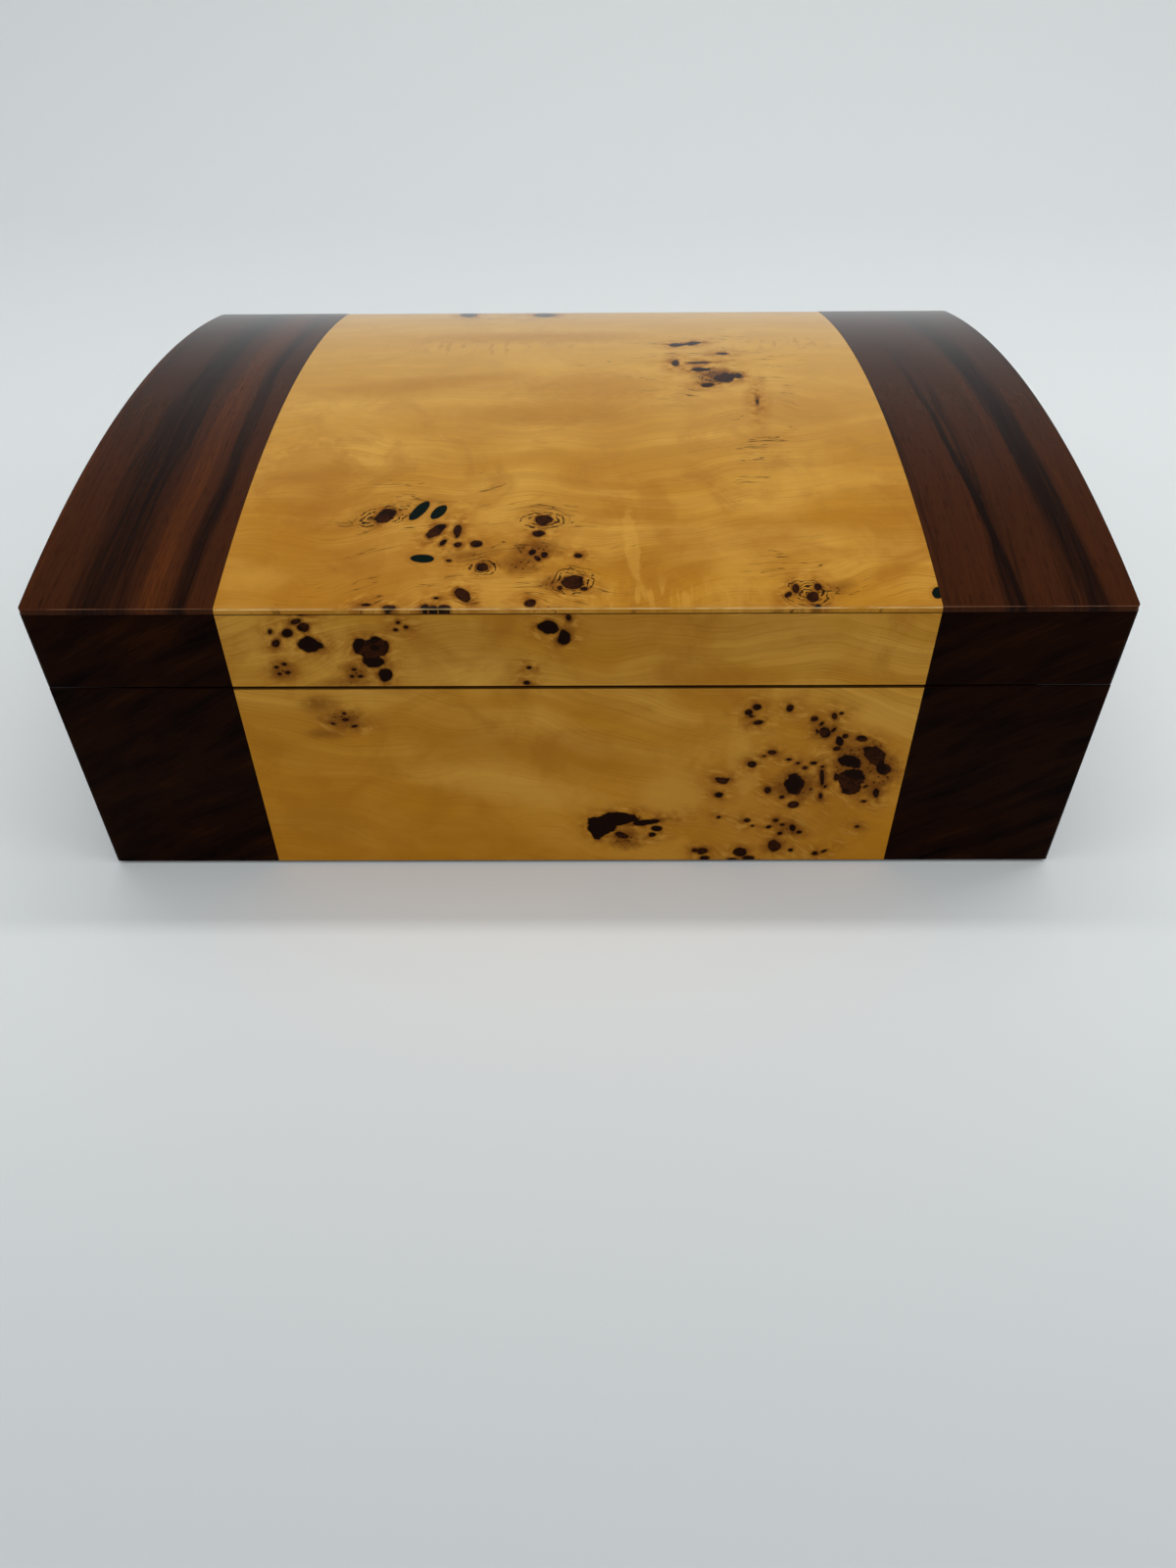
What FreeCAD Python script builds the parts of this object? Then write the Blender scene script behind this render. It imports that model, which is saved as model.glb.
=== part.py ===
import FreeCAD, Part
import math
import os
import re
import Sketcher
from FreeCAD import Vector

# A lacquered keepsake box with a domed lift-up lid. The carcass is built from mitred walls and
# rails, faced with burl in the middle and dark wood at both sides, lined inside and hung on two
# brass quadrant hinges, whose curved stays stop the lid just past upright.
# X runs along the width, the front faces -Y, and Z = 0 is the surface that the box stands on.

# Driving sizes in millimetres. lid_opening and lug_arc are in degrees.
SIZES = {
    "box_width": 320,
    "box_depth": 240,
    "base_height": 75,
    "lid_height": 27.5,
    "crown_rise": 13.5,
    "seam_gap": 0.5,
    "burl_width": 208,
    "skin_thick": 1.5,
    "wall_thick": 11,
    "floor_thick": 5,
    "floor_rabbet": 6,
    "felt_thick": 1,
    "crown_board": 5,
    "liner_thick": 3,
    "liner_lip": 5,
    "lip_clearance": 0.6,
    "pad_thick": 2.5,
    "lining_thick": 2,
    "corner_round": 1.4,
    "arris_ease": 0.8,
    "rim_ease": 0.6,
    "lip_round": 1,
    "lid_opening": 95,
    "leaf_thick": 2,
    "leaf_leg": 7.5,
    "leaf_inset": 3,
    "leaf_clearance": 0.1,
    "side_leg_end": 46,
    "barrel_start": 12,
    "barrel_length": 22,
    "end_knuckle": 5.5,
    "knuckle_gap": 0.25,
    "knuckle_radius": 2.5,
    "barrel_clearance": 0.3,
    "pin_radius": 1.25,
    "pin_clearance": 0.05,
    "stay_radius": 22,
    "stay_width": 3.5,
    "stay_thick": 1.8,
    "lug_thick": 4.2,
    "lug_arc": 5,
    "stay_clearance": 0.3,
    "screw_radius": 1.3,
    "screw_head": 2.5,
    "screw_length": 10,
}

# Places worked out from the sizes. A name that starts with lid_ is on the lid.
PLACES = {
    "half_width": "Sizes.box_width / 2",
    "half_burl": "Sizes.burl_width / 2",
    "front_face": "-(Sizes.box_depth + Sizes.knuckle_radius) / 2",
    "back_face": "front_face + Sizes.box_depth",
    "mid_depth": "front_face + Sizes.box_depth / 2",
    "lid_rim": "Sizes.base_height + Sizes.seam_gap",
    "pin_height": "Sizes.base_height + Sizes.seam_gap / 2",
    "arris_height": "lid_rim + Sizes.lid_height",
    "crown_height": "arris_height + Sizes.crown_rise",
    "crown_radius": "((Sizes.box_depth / 2)^2 + Sizes.crown_rise^2) / (2 * Sizes.crown_rise)",
    "crown_centre": "crown_height - crown_radius",
    "board_radius": "crown_radius - Sizes.skin_thick",
    "rail_radius": "board_radius - Sizes.crown_board",
    "lining_radius": "rail_radius - Sizes.lining_thick",
    "core_side": "half_width - Sizes.skin_thick",
    "core_front": "front_face + Sizes.skin_thick",
    "core_back": "back_face - Sizes.skin_thick",
    "hollow_side": "core_side - Sizes.wall_thick",
    "hollow_front": "core_front + Sizes.wall_thick",
    "hollow_back": "core_back - Sizes.wall_thick",
    "lid_hollow_side": "hollow_side + Sizes.lip_clearance",
    "lid_hollow_front": "hollow_front - Sizes.lip_clearance",
    "lid_hollow_back": "hollow_back + Sizes.lip_clearance",
    "liner_side": "hollow_side - Sizes.liner_thick",
    "liner_front": "hollow_front + Sizes.liner_thick",
    "liner_back": "hollow_back - Sizes.liner_thick",
    "floor_side": "hollow_side + Sizes.floor_rabbet",
    "floor_front": "hollow_front - Sizes.floor_rabbet",
    "floor_back": "hollow_back + Sizes.floor_rabbet",
    "floor_top": "Sizes.felt_thick + Sizes.floor_thick",
    "liner_top": "Sizes.base_height + Sizes.liner_lip",
    "leg_middle": "Sizes.leaf_inset + Sizes.leaf_leg / 2",
    "leg_inner": "Sizes.leaf_inset + Sizes.leaf_leg",
    "barrel_end": "Sizes.barrel_start + Sizes.barrel_length",
    "stay_inner": "Sizes.stay_radius - Sizes.stay_width / 2",
    "stay_outer": "Sizes.stay_radius + Sizes.stay_width / 2",
    "leaf_under": "Sizes.seam_gap / 2 + Sizes.leaf_thick + Sizes.stay_clearance",
    "stay_shoulder": "Sizes.lid_opening / 2 * 1 deg + asin(leaf_under / stay_inner)",
    "stay_end": "stay_shoulder + Sizes.lug_arc * 1 deg",
    "stay_reach": "stay_outer * sin(stay_end) + Sizes.stay_clearance",
    "stay_near": "stay_inner * cos(stay_end) - Sizes.stay_clearance",
    "stay_far": "stay_outer + Sizes.stay_clearance",
}

# A rectangle seen from above: half its width, its front edge and its back edge.
CORE = ("core_side", "core_front", "core_back")
HOLLOW = ("hollow_side", "hollow_front", "hollow_back")
LID_HOLLOW = ("lid_hollow_side", "lid_hollow_front", "lid_hollow_back")
LINER = ("liner_side", "liner_front", "liner_back")
FLOOR = ("floor_side", "floor_front", "floor_back")

# Each side's sign along X, and each wall's two corners as signs along X and Y.
SIDES = {"left": "-", "right": "+"}
WALL_ENDS = {
    "front": ("--", "+-"),
    "back": ("-+", "++"),
    "left": ("--", "-+"),
    "right": ("+-", "++"),
}
NEAR = 0.01
COUNTERSINK = -45

doc = FreeCAD.newDocument("KeepsakeBox")


def fill_sheet(name, cells):
    """Adds a spreadsheet that holds each value or formula under its own alias."""
    sheet = doc.addObject("Spreadsheet::Sheet", name)
    for row, (alias, content) in enumerate(cells.items(), start=1):
        sheet.set(f"A{row}", alias)
        sheet.set(f"B{row}", content)
        sheet.setAlias(f"B{row}", alias)
    doc.recompute()
    return sheet


fill_sheet("Sizes", {alias: str(size) for alias, size in SIZES.items()})
places = fill_sheet("Places", {alias: "=" + formula for alias, formula in PLACES.items()})


def full(text):
    """An expression with the name of its sheet before each alias."""
    def with_sheet(word):
        sheet = "Sizes." if word[0] in SIZES else "Places." if word[0] in PLACES else ""
        return sheet + word[0]
    return re.sub(r"[a-z_]+", with_sheet, text)


def value(text):
    """The number that an expression gives now."""
    result = places.evalExpression(full(text))
    return float(getattr(result, "Value", result))


def new_body(label):
    """An empty body whose label is the piece's name."""
    body = doc.addObject("PartDesign::Body", label)
    body.Label = label
    body.AllowCompound = True
    return body


def origin_feature(body, role):
    """The body's own origin plane or axis with that role."""
    return next(part for part in body.Origin.OriginFeatures if part.Role == role)


def new_sketch(body, plane, offset):
    """An empty sketch on the body's own plane, moved along its normal."""
    sketch = body.newObject("Sketcher::SketchObject", body.Label + "_sketch")
    sketch.AttachmentSupport = (origin_feature(body, plane), [""])
    sketch.MapMode = "FlatFace"
    sketch.setExpression("AttachmentOffset.Base.z", full(offset))
    return sketch


def bind_point(sketch, edge, vertex, across, along):
    """Ties a sketch point to two expressions, either of which may be None."""
    for kind, text in (("DistanceX", across), ("DistanceY", along)):
        if text is not None:
            number = sketch.addConstraint(Sketcher.Constraint(kind, edge, vertex, value(text)))
            sketch.setExpression(f"Constraints[{number}]", full(text))


def draw_outline(sketch, corners):
    """Draws a closed outline. A corner is (x, y), or (x, y, centre x, centre y, turn) at the end of
    an arc, where turn is 1 anticlockwise and -1 clockwise."""
    spots = [Vector(value(corner[0]), value(corner[1]), 0) for corner in corners]
    ends = []
    for number, corner in enumerate(corners):
        start, end = spots[number - 1], spots[number]
        if len(corner) == 2:
            sketch.addGeometry(Part.LineSegment(start, end), False)
            ends.append((1, 2))
            continue
        middle = Vector(value(corner[2]), value(corner[3]), 0)
        first, last = (start, end) if corner[4] > 0 else (end, start)
        angles = [math.atan2(spot.y - middle.y, spot.x - middle.x) for spot in (first, last)]
        circle = Part.Circle(middle, Vector(0, 0, 1), (start - middle).Length)
        sketch.addGeometry(Part.ArcOfCircle(circle, *angles), False)
        ends.append((1, 2) if corner[4] > 0 else (2, 1))
    for number, corner in enumerate(corners):
        following = (number + 1) % len(corners)
        joined = (number, ends[number][1], following, ends[following][0])
        sketch.addConstraint(Sketcher.Constraint("Coincident", *joined))
        across, along = corner[0], corner[1]
        if len(corner) > 2:
            bind_point(sketch, number, 3, corner[2], corner[3])
            reach = spots[number] - Vector(value(corner[2]), value(corner[3]), 0)
            if abs(reach.x) > abs(reach.y):
                across = None
            else:
                along = None
        bind_point(sketch, number, ends[number][1], across, along)


def draw_circles(sketch, centres, radius):
    """Draws a circle of one radius at each centre."""
    for across, along in centres:
        middle = Vector(value(across), value(along), 0)
        circle = sketch.addGeometry(Part.Circle(middle, Vector(0, 0, 1), value(radius)), False)
        bind_point(sketch, circle, 3, across, along)
        number = sketch.addConstraint(Sketcher.Constraint("Radius", circle, value(radius)))
        sketch.setExpression(f"Constraints[{number}]", full(radius))


def pad(body, sketch, length):
    """Adds the sketch's area to the body, thickened along the sketch's normal."""
    feature = body.newObject("PartDesign::Pad", body.Label + "_pad")
    feature.Profile = sketch
    feature.setExpression("Length", full(length))
    doc.recompute()
    return feature


def pocket(body, sketch, length, along_normal):
    """Cuts the sketch's area out of the body and makes sure that it cut something."""
    before = body.Shape.Volume
    feature = body.newObject("PartDesign::Pocket", body.Label + "_cut")
    feature.Profile = sketch
    feature.setExpression("Length", full(length))
    feature.Reversed = along_normal
    doc.recompute()
    if not body.Shape.Volume < before:
        raise RuntimeError(f"{feature.Label} cuts nothing")
    return feature


def ease(body, kind, size, wanted):
    """Fillets or chamfers the edges of the body that the test picks."""
    base = body.Tip
    chosen = [f"Edge{i}" for i, edge in enumerate(base.Shape.Edges, start=1) if wanted(edge)]
    if not chosen:
        raise RuntimeError(f"{body.Label} has no edge for its {kind}")
    feature = body.newObject("PartDesign::" + kind, f"{body.Label}_{kind.lower()}")
    feature.Base = (base, chosen)
    feature.setExpression("Radius" if kind == "Fillet" else "Size", full(size))
    doc.recompute()
    return feature


def at(**spots):
    """A test for edges that lie wholly in the given planes, such as x="half_width"."""
    def wanted(edge):
        box = edge.BoundBox
        lows = {"x": box.XMin, "y": box.YMin, "z": box.ZMin}
        highs = {"x": box.XMax, "y": box.YMax, "z": box.ZMax}
        return all(
            abs(lows[axis] - value(text)) < NEAR and abs(highs[axis] - value(text)) < NEAR
            for axis, text in spots.items()
        )
    return wanted


def any_of(*tests):
    """A test that passes where one of the given tests does."""
    return lambda edge: any(test(edge) for test in tests)


def circle_at(height, radius):
    """A test for full circles of that radius at that height."""
    around = 2 * math.pi * value(radius)
    return lambda edge: at(z=height)(edge) and abs(edge.Length - around) < NEAR


def end_arris(end):
    """A test for the curved edge where the lid's arch meets an end face."""
    return lambda edge: at(x=end)(edge) and abs(edge.BoundBox.ZMax - value("crown_height")) < NEAR


def rectangle(left, right, front, back):
    """The four corners of a rectangle."""
    return [(left, front), (right, front), (right, back), (left, back)]


def whole(frame):
    """The outline of a frame rectangle that is centred in the width."""
    side, front, back = frame
    return rectangle("-" + side, side, front, back)


def mitred(wall, outer, inner):
    """The outline of one wall of a mitred frame, seen from above."""
    def corner(frame, signs):
        side, front, back = frame
        return ("-" + side if signs[0] == "-" else side, front if signs[1] == "-" else back)
    first, last = WALL_ENDS[wall]
    return [corner(outer, first), corner(outer, last), corner(inner, last), corner(inner, first)]


def upright(label, outline, low, high):
    """A body with that outline seen from above, from one height to another."""
    body = new_body(label)
    sketch = new_sketch(body, "XY_Plane", low)
    draw_outline(sketch, outline)
    pad(body, sketch, f"{high} - ({low})")
    return body


def cut_from(body, outline, height, depth, upwards):
    """Cuts an outline into the body from a level face, upwards or downwards."""
    sketch = new_sketch(body, "XY_Plane", height)
    draw_outline(sketch, outline)
    pocket(body, sketch, depth, upwards)


def drill_from(body, centres, radius, height, depth, upwards):
    """Drills round holes into the body from a level face, upwards or downwards."""
    sketch = new_sketch(body, "XY_Plane", height)
    draw_circles(sketch, centres, radius)
    pocket(body, sketch, depth, upwards)


def arch_at(depth, radius):
    """The height of the lid's arch of that radius, at a place along the depth."""
    return f"crown_centre + sqrt({radius}^2 - ({depth} - mid_depth)^2)"


def trim_to_arch(body, radius):
    """Takes away what stands above the lid's arch of that radius."""
    front, back = "front_face - wall_thick", "back_face + wall_thick"
    sketch = new_sketch(body, "YZ_Plane", "-half_width")
    draw_outline(sketch, [
        (front, arch_at("(front_face - wall_thick)", radius)),
        (back, arch_at("(back_face + wall_thick)", radius), "mid_depth", "crown_centre", -1),
        (back, "crown_height + wall_thick"),
        (front, "crown_height + wall_thick"),
    ])
    pocket(body, sketch, "box_width", True)


def arched(label, left, right, front, back, outer, inner):
    """A body that follows the lid's arch between two radii."""
    body = new_body(label)
    sketch = new_sketch(body, "YZ_Plane", left)
    draw_outline(sketch, [
        (front, arch_at(front, outer)),
        (back, arch_at(back, outer), "mid_depth", "crown_centre", -1),
        (back, arch_at(back, inner)),
        (front, arch_at(front, inner), "mid_depth", "crown_centre", 1),
    ])
    pad(body, sketch, f"{right} - ({left})")
    return body


def from_end(sign, distance):
    """A place along X, given as a distance in from the left or right end of the box."""
    return f"{sign}(half_width - ({distance}))"


def from_back(distance):
    """A place along Y, given as a distance forward of the back face."""
    return f"back_face - ({distance})"


def hinge_outline(sign, room, knuckles):
    """A hinge leaf seen from above: a leg along the side wall with a round end, and a leg along the
    back wall with a tongue out to each knuckle. room widens it to the recess it lies in."""
    near, far = f"leaf_inset - {room}", f"leg_inner + {room}"
    turn = -1 if sign == "-" else 1
    corners = [
        (from_end(sign, near), from_back("side_leg_end - leaf_leg / 2")),
        (from_end(sign, near), from_back(near)),
    ]
    for start, end in knuckles:
        corners += [
            (from_end(sign, f"{start} - {room}"), from_back(near)),
            (from_end(sign, f"{start} - {room}"), "back_face"),
            (from_end(sign, f"{end} + {room}"), "back_face"),
        ]
        if end != "barrel_end":
            corners.append((from_end(sign, f"{end} + {room}"), from_back(near)))
    if knuckles[-1][1] != "barrel_end":
        corners.append((from_end(sign, f"barrel_end + {room}"), from_back(near)))
    corners += [
        (from_end(sign, f"barrel_end + {room}"), from_back(far)),
        (from_end(sign, far), from_back(far)),
        (from_end(sign, far), from_back("side_leg_end - leaf_leg / 2")),
    ]
    end_arc = (from_end(sign, "leg_middle"), from_back("side_leg_end - leaf_leg / 2"), turn)
    corners[0] = corners[0] + end_arc
    return corners


def screw_spots(sign):
    """Where one leaf's two screws go: in the leg along the back, then in the leg along the side."""
    return [
        (from_end(sign, "barrel_end - leaf_leg / 2"), from_back("leg_middle")),
        (from_end(sign, "leg_middle"), from_back("side_leg_end - leaf_leg / 2")),
    ]


WHOLE_BARREL = [("barrel_start", "barrel_end")]
BASE_KNUCKLES = [
    ("barrel_start", "(barrel_start + end_knuckle)"),
    ("(barrel_end - end_knuckle)", "barrel_end"),
]
LID_KNUCKLES = [
    ("(barrel_start + end_knuckle + knuckle_gap)", "(barrel_end - end_knuckle - knuckle_gap)"),
]


def round_along_x(body, sign, start, end, radius):
    """Puts a round sketch about the pin's axis, and gives it with the length to the other end."""
    left = start if sign == "-" else end
    sketch = new_sketch(body, "YZ_Plane", from_end(sign, left))
    draw_circles(sketch, [("back_face", "pin_height")], radius)
    return sketch, f"{end} - {start}"


def let_in_leaf(body, sign, rim, upwards):
    """Cuts the recess that a hinge leaf lies in."""
    cut_from(body, hinge_outline(sign, "leaf_clearance", WHOLE_BARREL), rim, "leaf_thick", upwards)


def clear_barrel(body, sign):
    """Cuts the round trough that a hinge's barrel turns in."""
    start, end = "(barrel_start - barrel_clearance)", "(barrel_end + barrel_clearance)"
    sketch, length = round_along_x(body, sign, start, end, "knuckle_radius + barrel_clearance")
    pocket(body, sketch, length, True)


def stay_mortise(sign):
    """The mortise in a side wall or rail that a stay swings in, seen from above."""
    near = from_end(sign, "leg_middle - lug_thick / 2 - stay_clearance")
    far = from_end(sign, "leg_middle + lug_thick / 2 + stay_clearance")
    return rectangle(near, far, from_back("stay_far"), from_back("stay_near"))


def seat_hinges(walls, rim, upwards):
    """Recesses, troughs, screw holes and stay mortises for both hinges, in the back and side walls."""
    for side, sign in SIDES.items():
        for wall, screw in zip((walls["back"], walls[side]), screw_spots(sign)):
            let_in_leaf(wall, sign, rim, upwards)
            drill_from(wall, [screw], "screw_radius", rim, "screw_length", upwards)
        clear_barrel(walls["back"], sign)
        cut_from(walls[side], stay_mortise(sign), rim, "stay_reach - seam_gap / 2", upwards)


def make_base_carcass():
    """Base walls with a rabbet for the floor board, the board, and the felt under them."""
    walls = {wall: upright(f"base_{wall}_panel", mitred(wall, CORE, HOLLOW), "felt_thick", "base_height")
             for wall in WALL_ENDS}
    for wall in walls.values():
        cut_from(wall, whole(FLOOR), "felt_thick", "floor_thick", True)
    seat_hinges(walls, "base_height", False)
    upright("base_floor_board", whole(FLOOR), "felt_thick", "floor_top")
    upright("base_felt", whole(CORE), "0", "felt_thick")


def make_lid_carcass():
    """Lid rails cut to the arch, the bent board on top of them, and the lining under it."""
    rails = {wall: upright(f"lid_{wall}_rail", mitred(wall, CORE, LID_HOLLOW), "lid_rim", "crown_height")
             for wall in WALL_ENDS}
    seat_hinges(rails, "lid_rim", True)
    for rail in rails.values():
        trim_to_arch(rail, "rail_radius")
    side, front, back = CORE
    arched("lid_crown_board", "-" + side, side, front, back, "board_radius", "rail_radius")
    side, front, back = LID_HOLLOW
    arched("lid_lining", "-" + side, side, front, back, "rail_radius", "lining_radius")


def make_liners():
    """Covered boards inside the base that stand proud of its rim, and the pad between them."""
    side, front, back = LINER
    inner_faces = {
        "front": {"y": front},
        "back": {"y": back},
        "left": {"x": "-" + side},
        "right": {"x": side},
    }
    for wall, inner_face in inner_faces.items():
        liner = upright(f"base_{wall}_liner", mitred(wall, HOLLOW, LINER), "floor_top", "liner_top")
        ease(liner, "Fillet", "lip_round", at(z="liner_top", **inner_face))
    upright("base_floor_pad", whole(LINER), "floor_top", "floor_top + pad_thick")


BANDS = {
    "left": ("-half_width", "-half_burl"),
    "middle": ("-half_burl", "half_burl"),
    "right": ("half_burl", "half_width"),
}


def face_with_veneer(part, low, high, rim, eased):
    """The veneers of the base's or lid's four faces: burl between dark bands on the front and back,
    and dark wood on the ends. Their outer edges are eased at the given heights."""
    outer = {"front": "front_face", "back": "back_face"}
    inner = {"front": "core_front", "back": "core_back"}
    for band, (left, right) in BANDS.items():
        for face in outer:
            name = f"{part}_{face}_burl" if band == "middle" else f"{part}_{face}_{band}_band"
            skin = upright(name, rectangle(left, right, outer[face], inner[face]), low, high)
            if face == "back" and band != "middle":
                let_in_leaf(skin, SIDES[band], rim, part == "lid")
                clear_barrel(skin, SIDES[band])
            if part == "lid":
                trim_to_arch(skin, "board_radius")
            if band != "middle":
                end = left if band == "left" else right
                ease(skin, "Fillet", "corner_round", at(x=end, y=outer[face]))
            ease(skin, "Chamfer", "rim_ease", any_of(*(at(y=outer[face], z=height) for height in eased)))
    for side, sign in SIDES.items():
        end, inside = sign + "half_width", sign + "core_side"
        skin = upright(f"{part}_{side}_end", rectangle(end, inside, "core_front", "core_back"), low, high)
        if part == "lid":
            trim_to_arch(skin, "board_radius")
        ease(skin, "Chamfer", "rim_ease", any_of(*(at(x=end, z=height) for height in eased)))


def make_crown_veneer():
    """The veneers on the domed top, with the arris eased all the way round."""
    for band, (left, right) in BANDS.items():
        name = "lid_top_burl" if band == "middle" else f"lid_top_{band}_band"
        skin = arched(name, left, right, "front_face", "back_face", "crown_radius", "board_radius")
        arris = [at(y=face, z="arris_height") for face in ("front_face", "back_face")]
        if band != "middle":
            end = left if band == "left" else right
            corners = [at(x=end, y=face) for face in ("front_face", "back_face")]
            ease(skin, "Fillet", "corner_round", any_of(*corners))
            arris.append(end_arris(end))
        ease(skin, "Chamfer", "arris_ease", any_of(*arris))


def make_leaf(label, sign, part):
    """One quadrant hinge leaf, flush with its rim, with its slot, knuckles and screw holes."""
    base = part == "base"
    knuckles = BASE_KNUCKLES if base else LID_KNUCKLES
    low = "base_height - leaf_thick" if base else "lid_rim"
    rim = "base_height" if base else "lid_rim"
    leaf = upright(label, hinge_outline(sign, "0", knuckles), low, f"({low}) + leaf_thick")
    slot = rectangle(from_end(sign, "leg_middle - stay_thick / 2 - stay_clearance"),
                     from_end(sign, "leg_middle + stay_thick / 2 + stay_clearance"),
                     from_back("stay_far"), from_back("stay_inner - 2 * stay_clearance"))
    cut_from(leaf, slot, rim, "leaf_thick", not base)
    for start, end in knuckles:
        pad(leaf, *round_along_x(leaf, sign, start, end, "knuckle_radius"))
    room = "0" if base else "pin_clearance"
    sketch, length = round_along_x(leaf, sign, "barrel_start", "barrel_end", f"pin_radius + {room}")
    pocket(leaf, sketch, length, True)
    drill_from(leaf, screw_spots(sign), "screw_radius", rim, "leaf_thick", not base)
    ease(leaf, "Chamfer", "screw_head - screw_radius", circle_at(rim, "screw_radius"))


def make_screws(label, rim, upwards):
    """The countersunk screws of both leaves on the base or the lid."""
    spots = [spot for sign in SIDES.values() for spot in screw_spots(sign)]
    screws = new_body(label)
    for radius, depth in (("screw_radius", "screw_length"), ("screw_head", "screw_head - screw_radius")):
        sketch = new_sketch(screws, "XY_Plane", rim)
        draw_circles(sketch, spots, radius)
        feature = pad(screws, sketch, depth)
        feature.Reversed = not upwards
        if radius == "screw_head":
            feature.TaperAngle = COUNTERSINK
        doc.recompute()


def turn_about_pin(body, kind, outline, sweep):
    """Adds or cuts a ring piece about the pin's axis, centred on the seam."""
    sketch = new_sketch(body, "XY_Plane", "0")
    draw_outline(sketch, outline)
    feature = body.newObject("PartDesign::" + kind, f"{body.Label}_{kind.lower()}")
    feature.Profile = sketch
    feature.ReferenceAxis = (origin_feature(body, "X_Axis"), [""])
    feature.setExpression("Angle", full(f"2 * {sweep}"))
    feature.Midplane = True
    doc.recompute()


def make_stay(label, sign):
    """The curved arm that joins a hinge's two leaves: a lug at each end stops the lid."""
    stay = new_body(label)
    stay.setExpression("Placement.Base.x", full(from_end(sign, "leg_middle")))
    stay.setExpression("Placement.Base.y", full("back_face"))
    stay.setExpression("Placement.Base.z", full("pin_height"))
    lug = rectangle("-lug_thick / 2", "lug_thick / 2", "-stay_outer", "-stay_inner")
    turn_about_pin(stay, "Revolution", lug, "stay_end")
    for near, far in (("-lug_thick / 2", "-stay_thick / 2"), ("stay_thick / 2", "lug_thick / 2")):
        before = stay.Shape.Volume
        turn_about_pin(stay, "Groove", rectangle(near, far, "-stay_outer", "-stay_inner"), "stay_shoulder")
        if not stay.Shape.Volume < before:
            raise RuntimeError(f"{label} has no waist between its lugs")


def make_hinges():
    """Both quadrant hinges, with their pins, stays and screws."""
    for side, sign in SIDES.items():
        make_leaf(f"{side}_hinge_base_leaf", sign, "base")
        make_leaf(f"{side}_hinge_lid_leaf", sign, "lid")
        pin = new_body(f"{side}_hinge_pin")
        pad(pin, *round_along_x(pin, sign, "barrel_start", "barrel_end", "pin_radius"))
        make_stay(f"{side}_hinge_stay", sign)
    make_screws("base_hinge_screws", "base_height", False)
    make_screws("lid_hinge_screws", "lid_rim", True)


def check_and_write():
    """Stops if any object failed or any piece is empty or broken, then writes the pieces."""
    doc.recompute()
    failed = [thing.Label for thing in doc.Objects if {"Invalid", "Error"} & set(thing.State)]
    if failed:
        raise RuntimeError(f"these did not rebuild: {failed}")
    bodies = [thing for thing in doc.Objects if thing.TypeId == "PartDesign::Body"]
    for body in bodies:
        if body.Shape.isNull() or not body.Shape.isValid() or not body.Shape.Solids:
            raise RuntimeError(f"{body.Label} has no sound shape")
    os.makedirs("parts", exist_ok=True)
    for body in bodies:
        body.Shape.exportStep(f"parts/{body.Label}.step")
    print(len(bodies), "pieces written")


make_base_carcass()
make_liners()
face_with_veneer("base", "felt_thick", "base_height", "base_height", ("felt_thick", "base_height"))
make_lid_carcass()
face_with_veneer("lid", "lid_rim", "crown_height", "lid_rim", ("lid_rim",))
make_crown_veneer()
make_hinges()
check_and_write()
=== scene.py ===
import math

import bmesh
import bpy
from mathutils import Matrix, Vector, noise


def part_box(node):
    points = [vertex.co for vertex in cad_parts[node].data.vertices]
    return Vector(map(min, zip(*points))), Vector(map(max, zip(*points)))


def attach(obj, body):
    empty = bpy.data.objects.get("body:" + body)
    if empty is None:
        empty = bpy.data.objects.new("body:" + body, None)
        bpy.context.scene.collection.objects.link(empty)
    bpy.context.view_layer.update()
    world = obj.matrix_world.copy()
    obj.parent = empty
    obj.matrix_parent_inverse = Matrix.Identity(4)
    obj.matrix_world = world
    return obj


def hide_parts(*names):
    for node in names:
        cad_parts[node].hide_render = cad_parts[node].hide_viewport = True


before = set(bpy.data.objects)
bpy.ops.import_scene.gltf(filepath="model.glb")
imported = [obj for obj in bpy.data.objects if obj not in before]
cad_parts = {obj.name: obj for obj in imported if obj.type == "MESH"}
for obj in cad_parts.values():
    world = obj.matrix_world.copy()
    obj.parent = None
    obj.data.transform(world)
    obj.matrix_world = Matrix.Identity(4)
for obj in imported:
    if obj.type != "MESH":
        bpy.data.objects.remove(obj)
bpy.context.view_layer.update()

bl_info = {
    "name": "Domed Keepsake Box",
    "version": (1, 0, 0),
    "blender": (4, 5, 0),
    "location": "3D View > Sidebar > Keepsake Box",
    "description": "Dresses a lacquered keepsake box: burl and dark veneers, linings and brass hinges",
    "category": "Add Mesh",
}

MM = 0.001
SEED = 11
SIDES = ("left", "right")

# How near a point has to be to a plane or an arch to lie on it, in metres.
TOUCHING = 1e-5
ARCH_STEPS = 120
SHEET_COLUMNS = 5
BARREL_GAP = 0.3 * MM

# In millimetres: a distance past any knot, how softly knots that touch run together, and how far
# in from the edge of the top its painted highlight lies.
FAR_OFF = 50.0
KNOTS_MERGE = 0.35
ARRIS_HIGHLIGHT_INSET = 0.30

# How far the grain falls across the face for each millimetre, and how far dark stripes lean.
TOP_TILT = -0.10
FRONT_TILT = 0.32
STRIPE_LEAN = 0.55

# A screw's shank beside its hole, and the length of its slot in head radii.
SHANK_SHARE = 0.98
SLOT_REACH = 3.0
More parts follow.
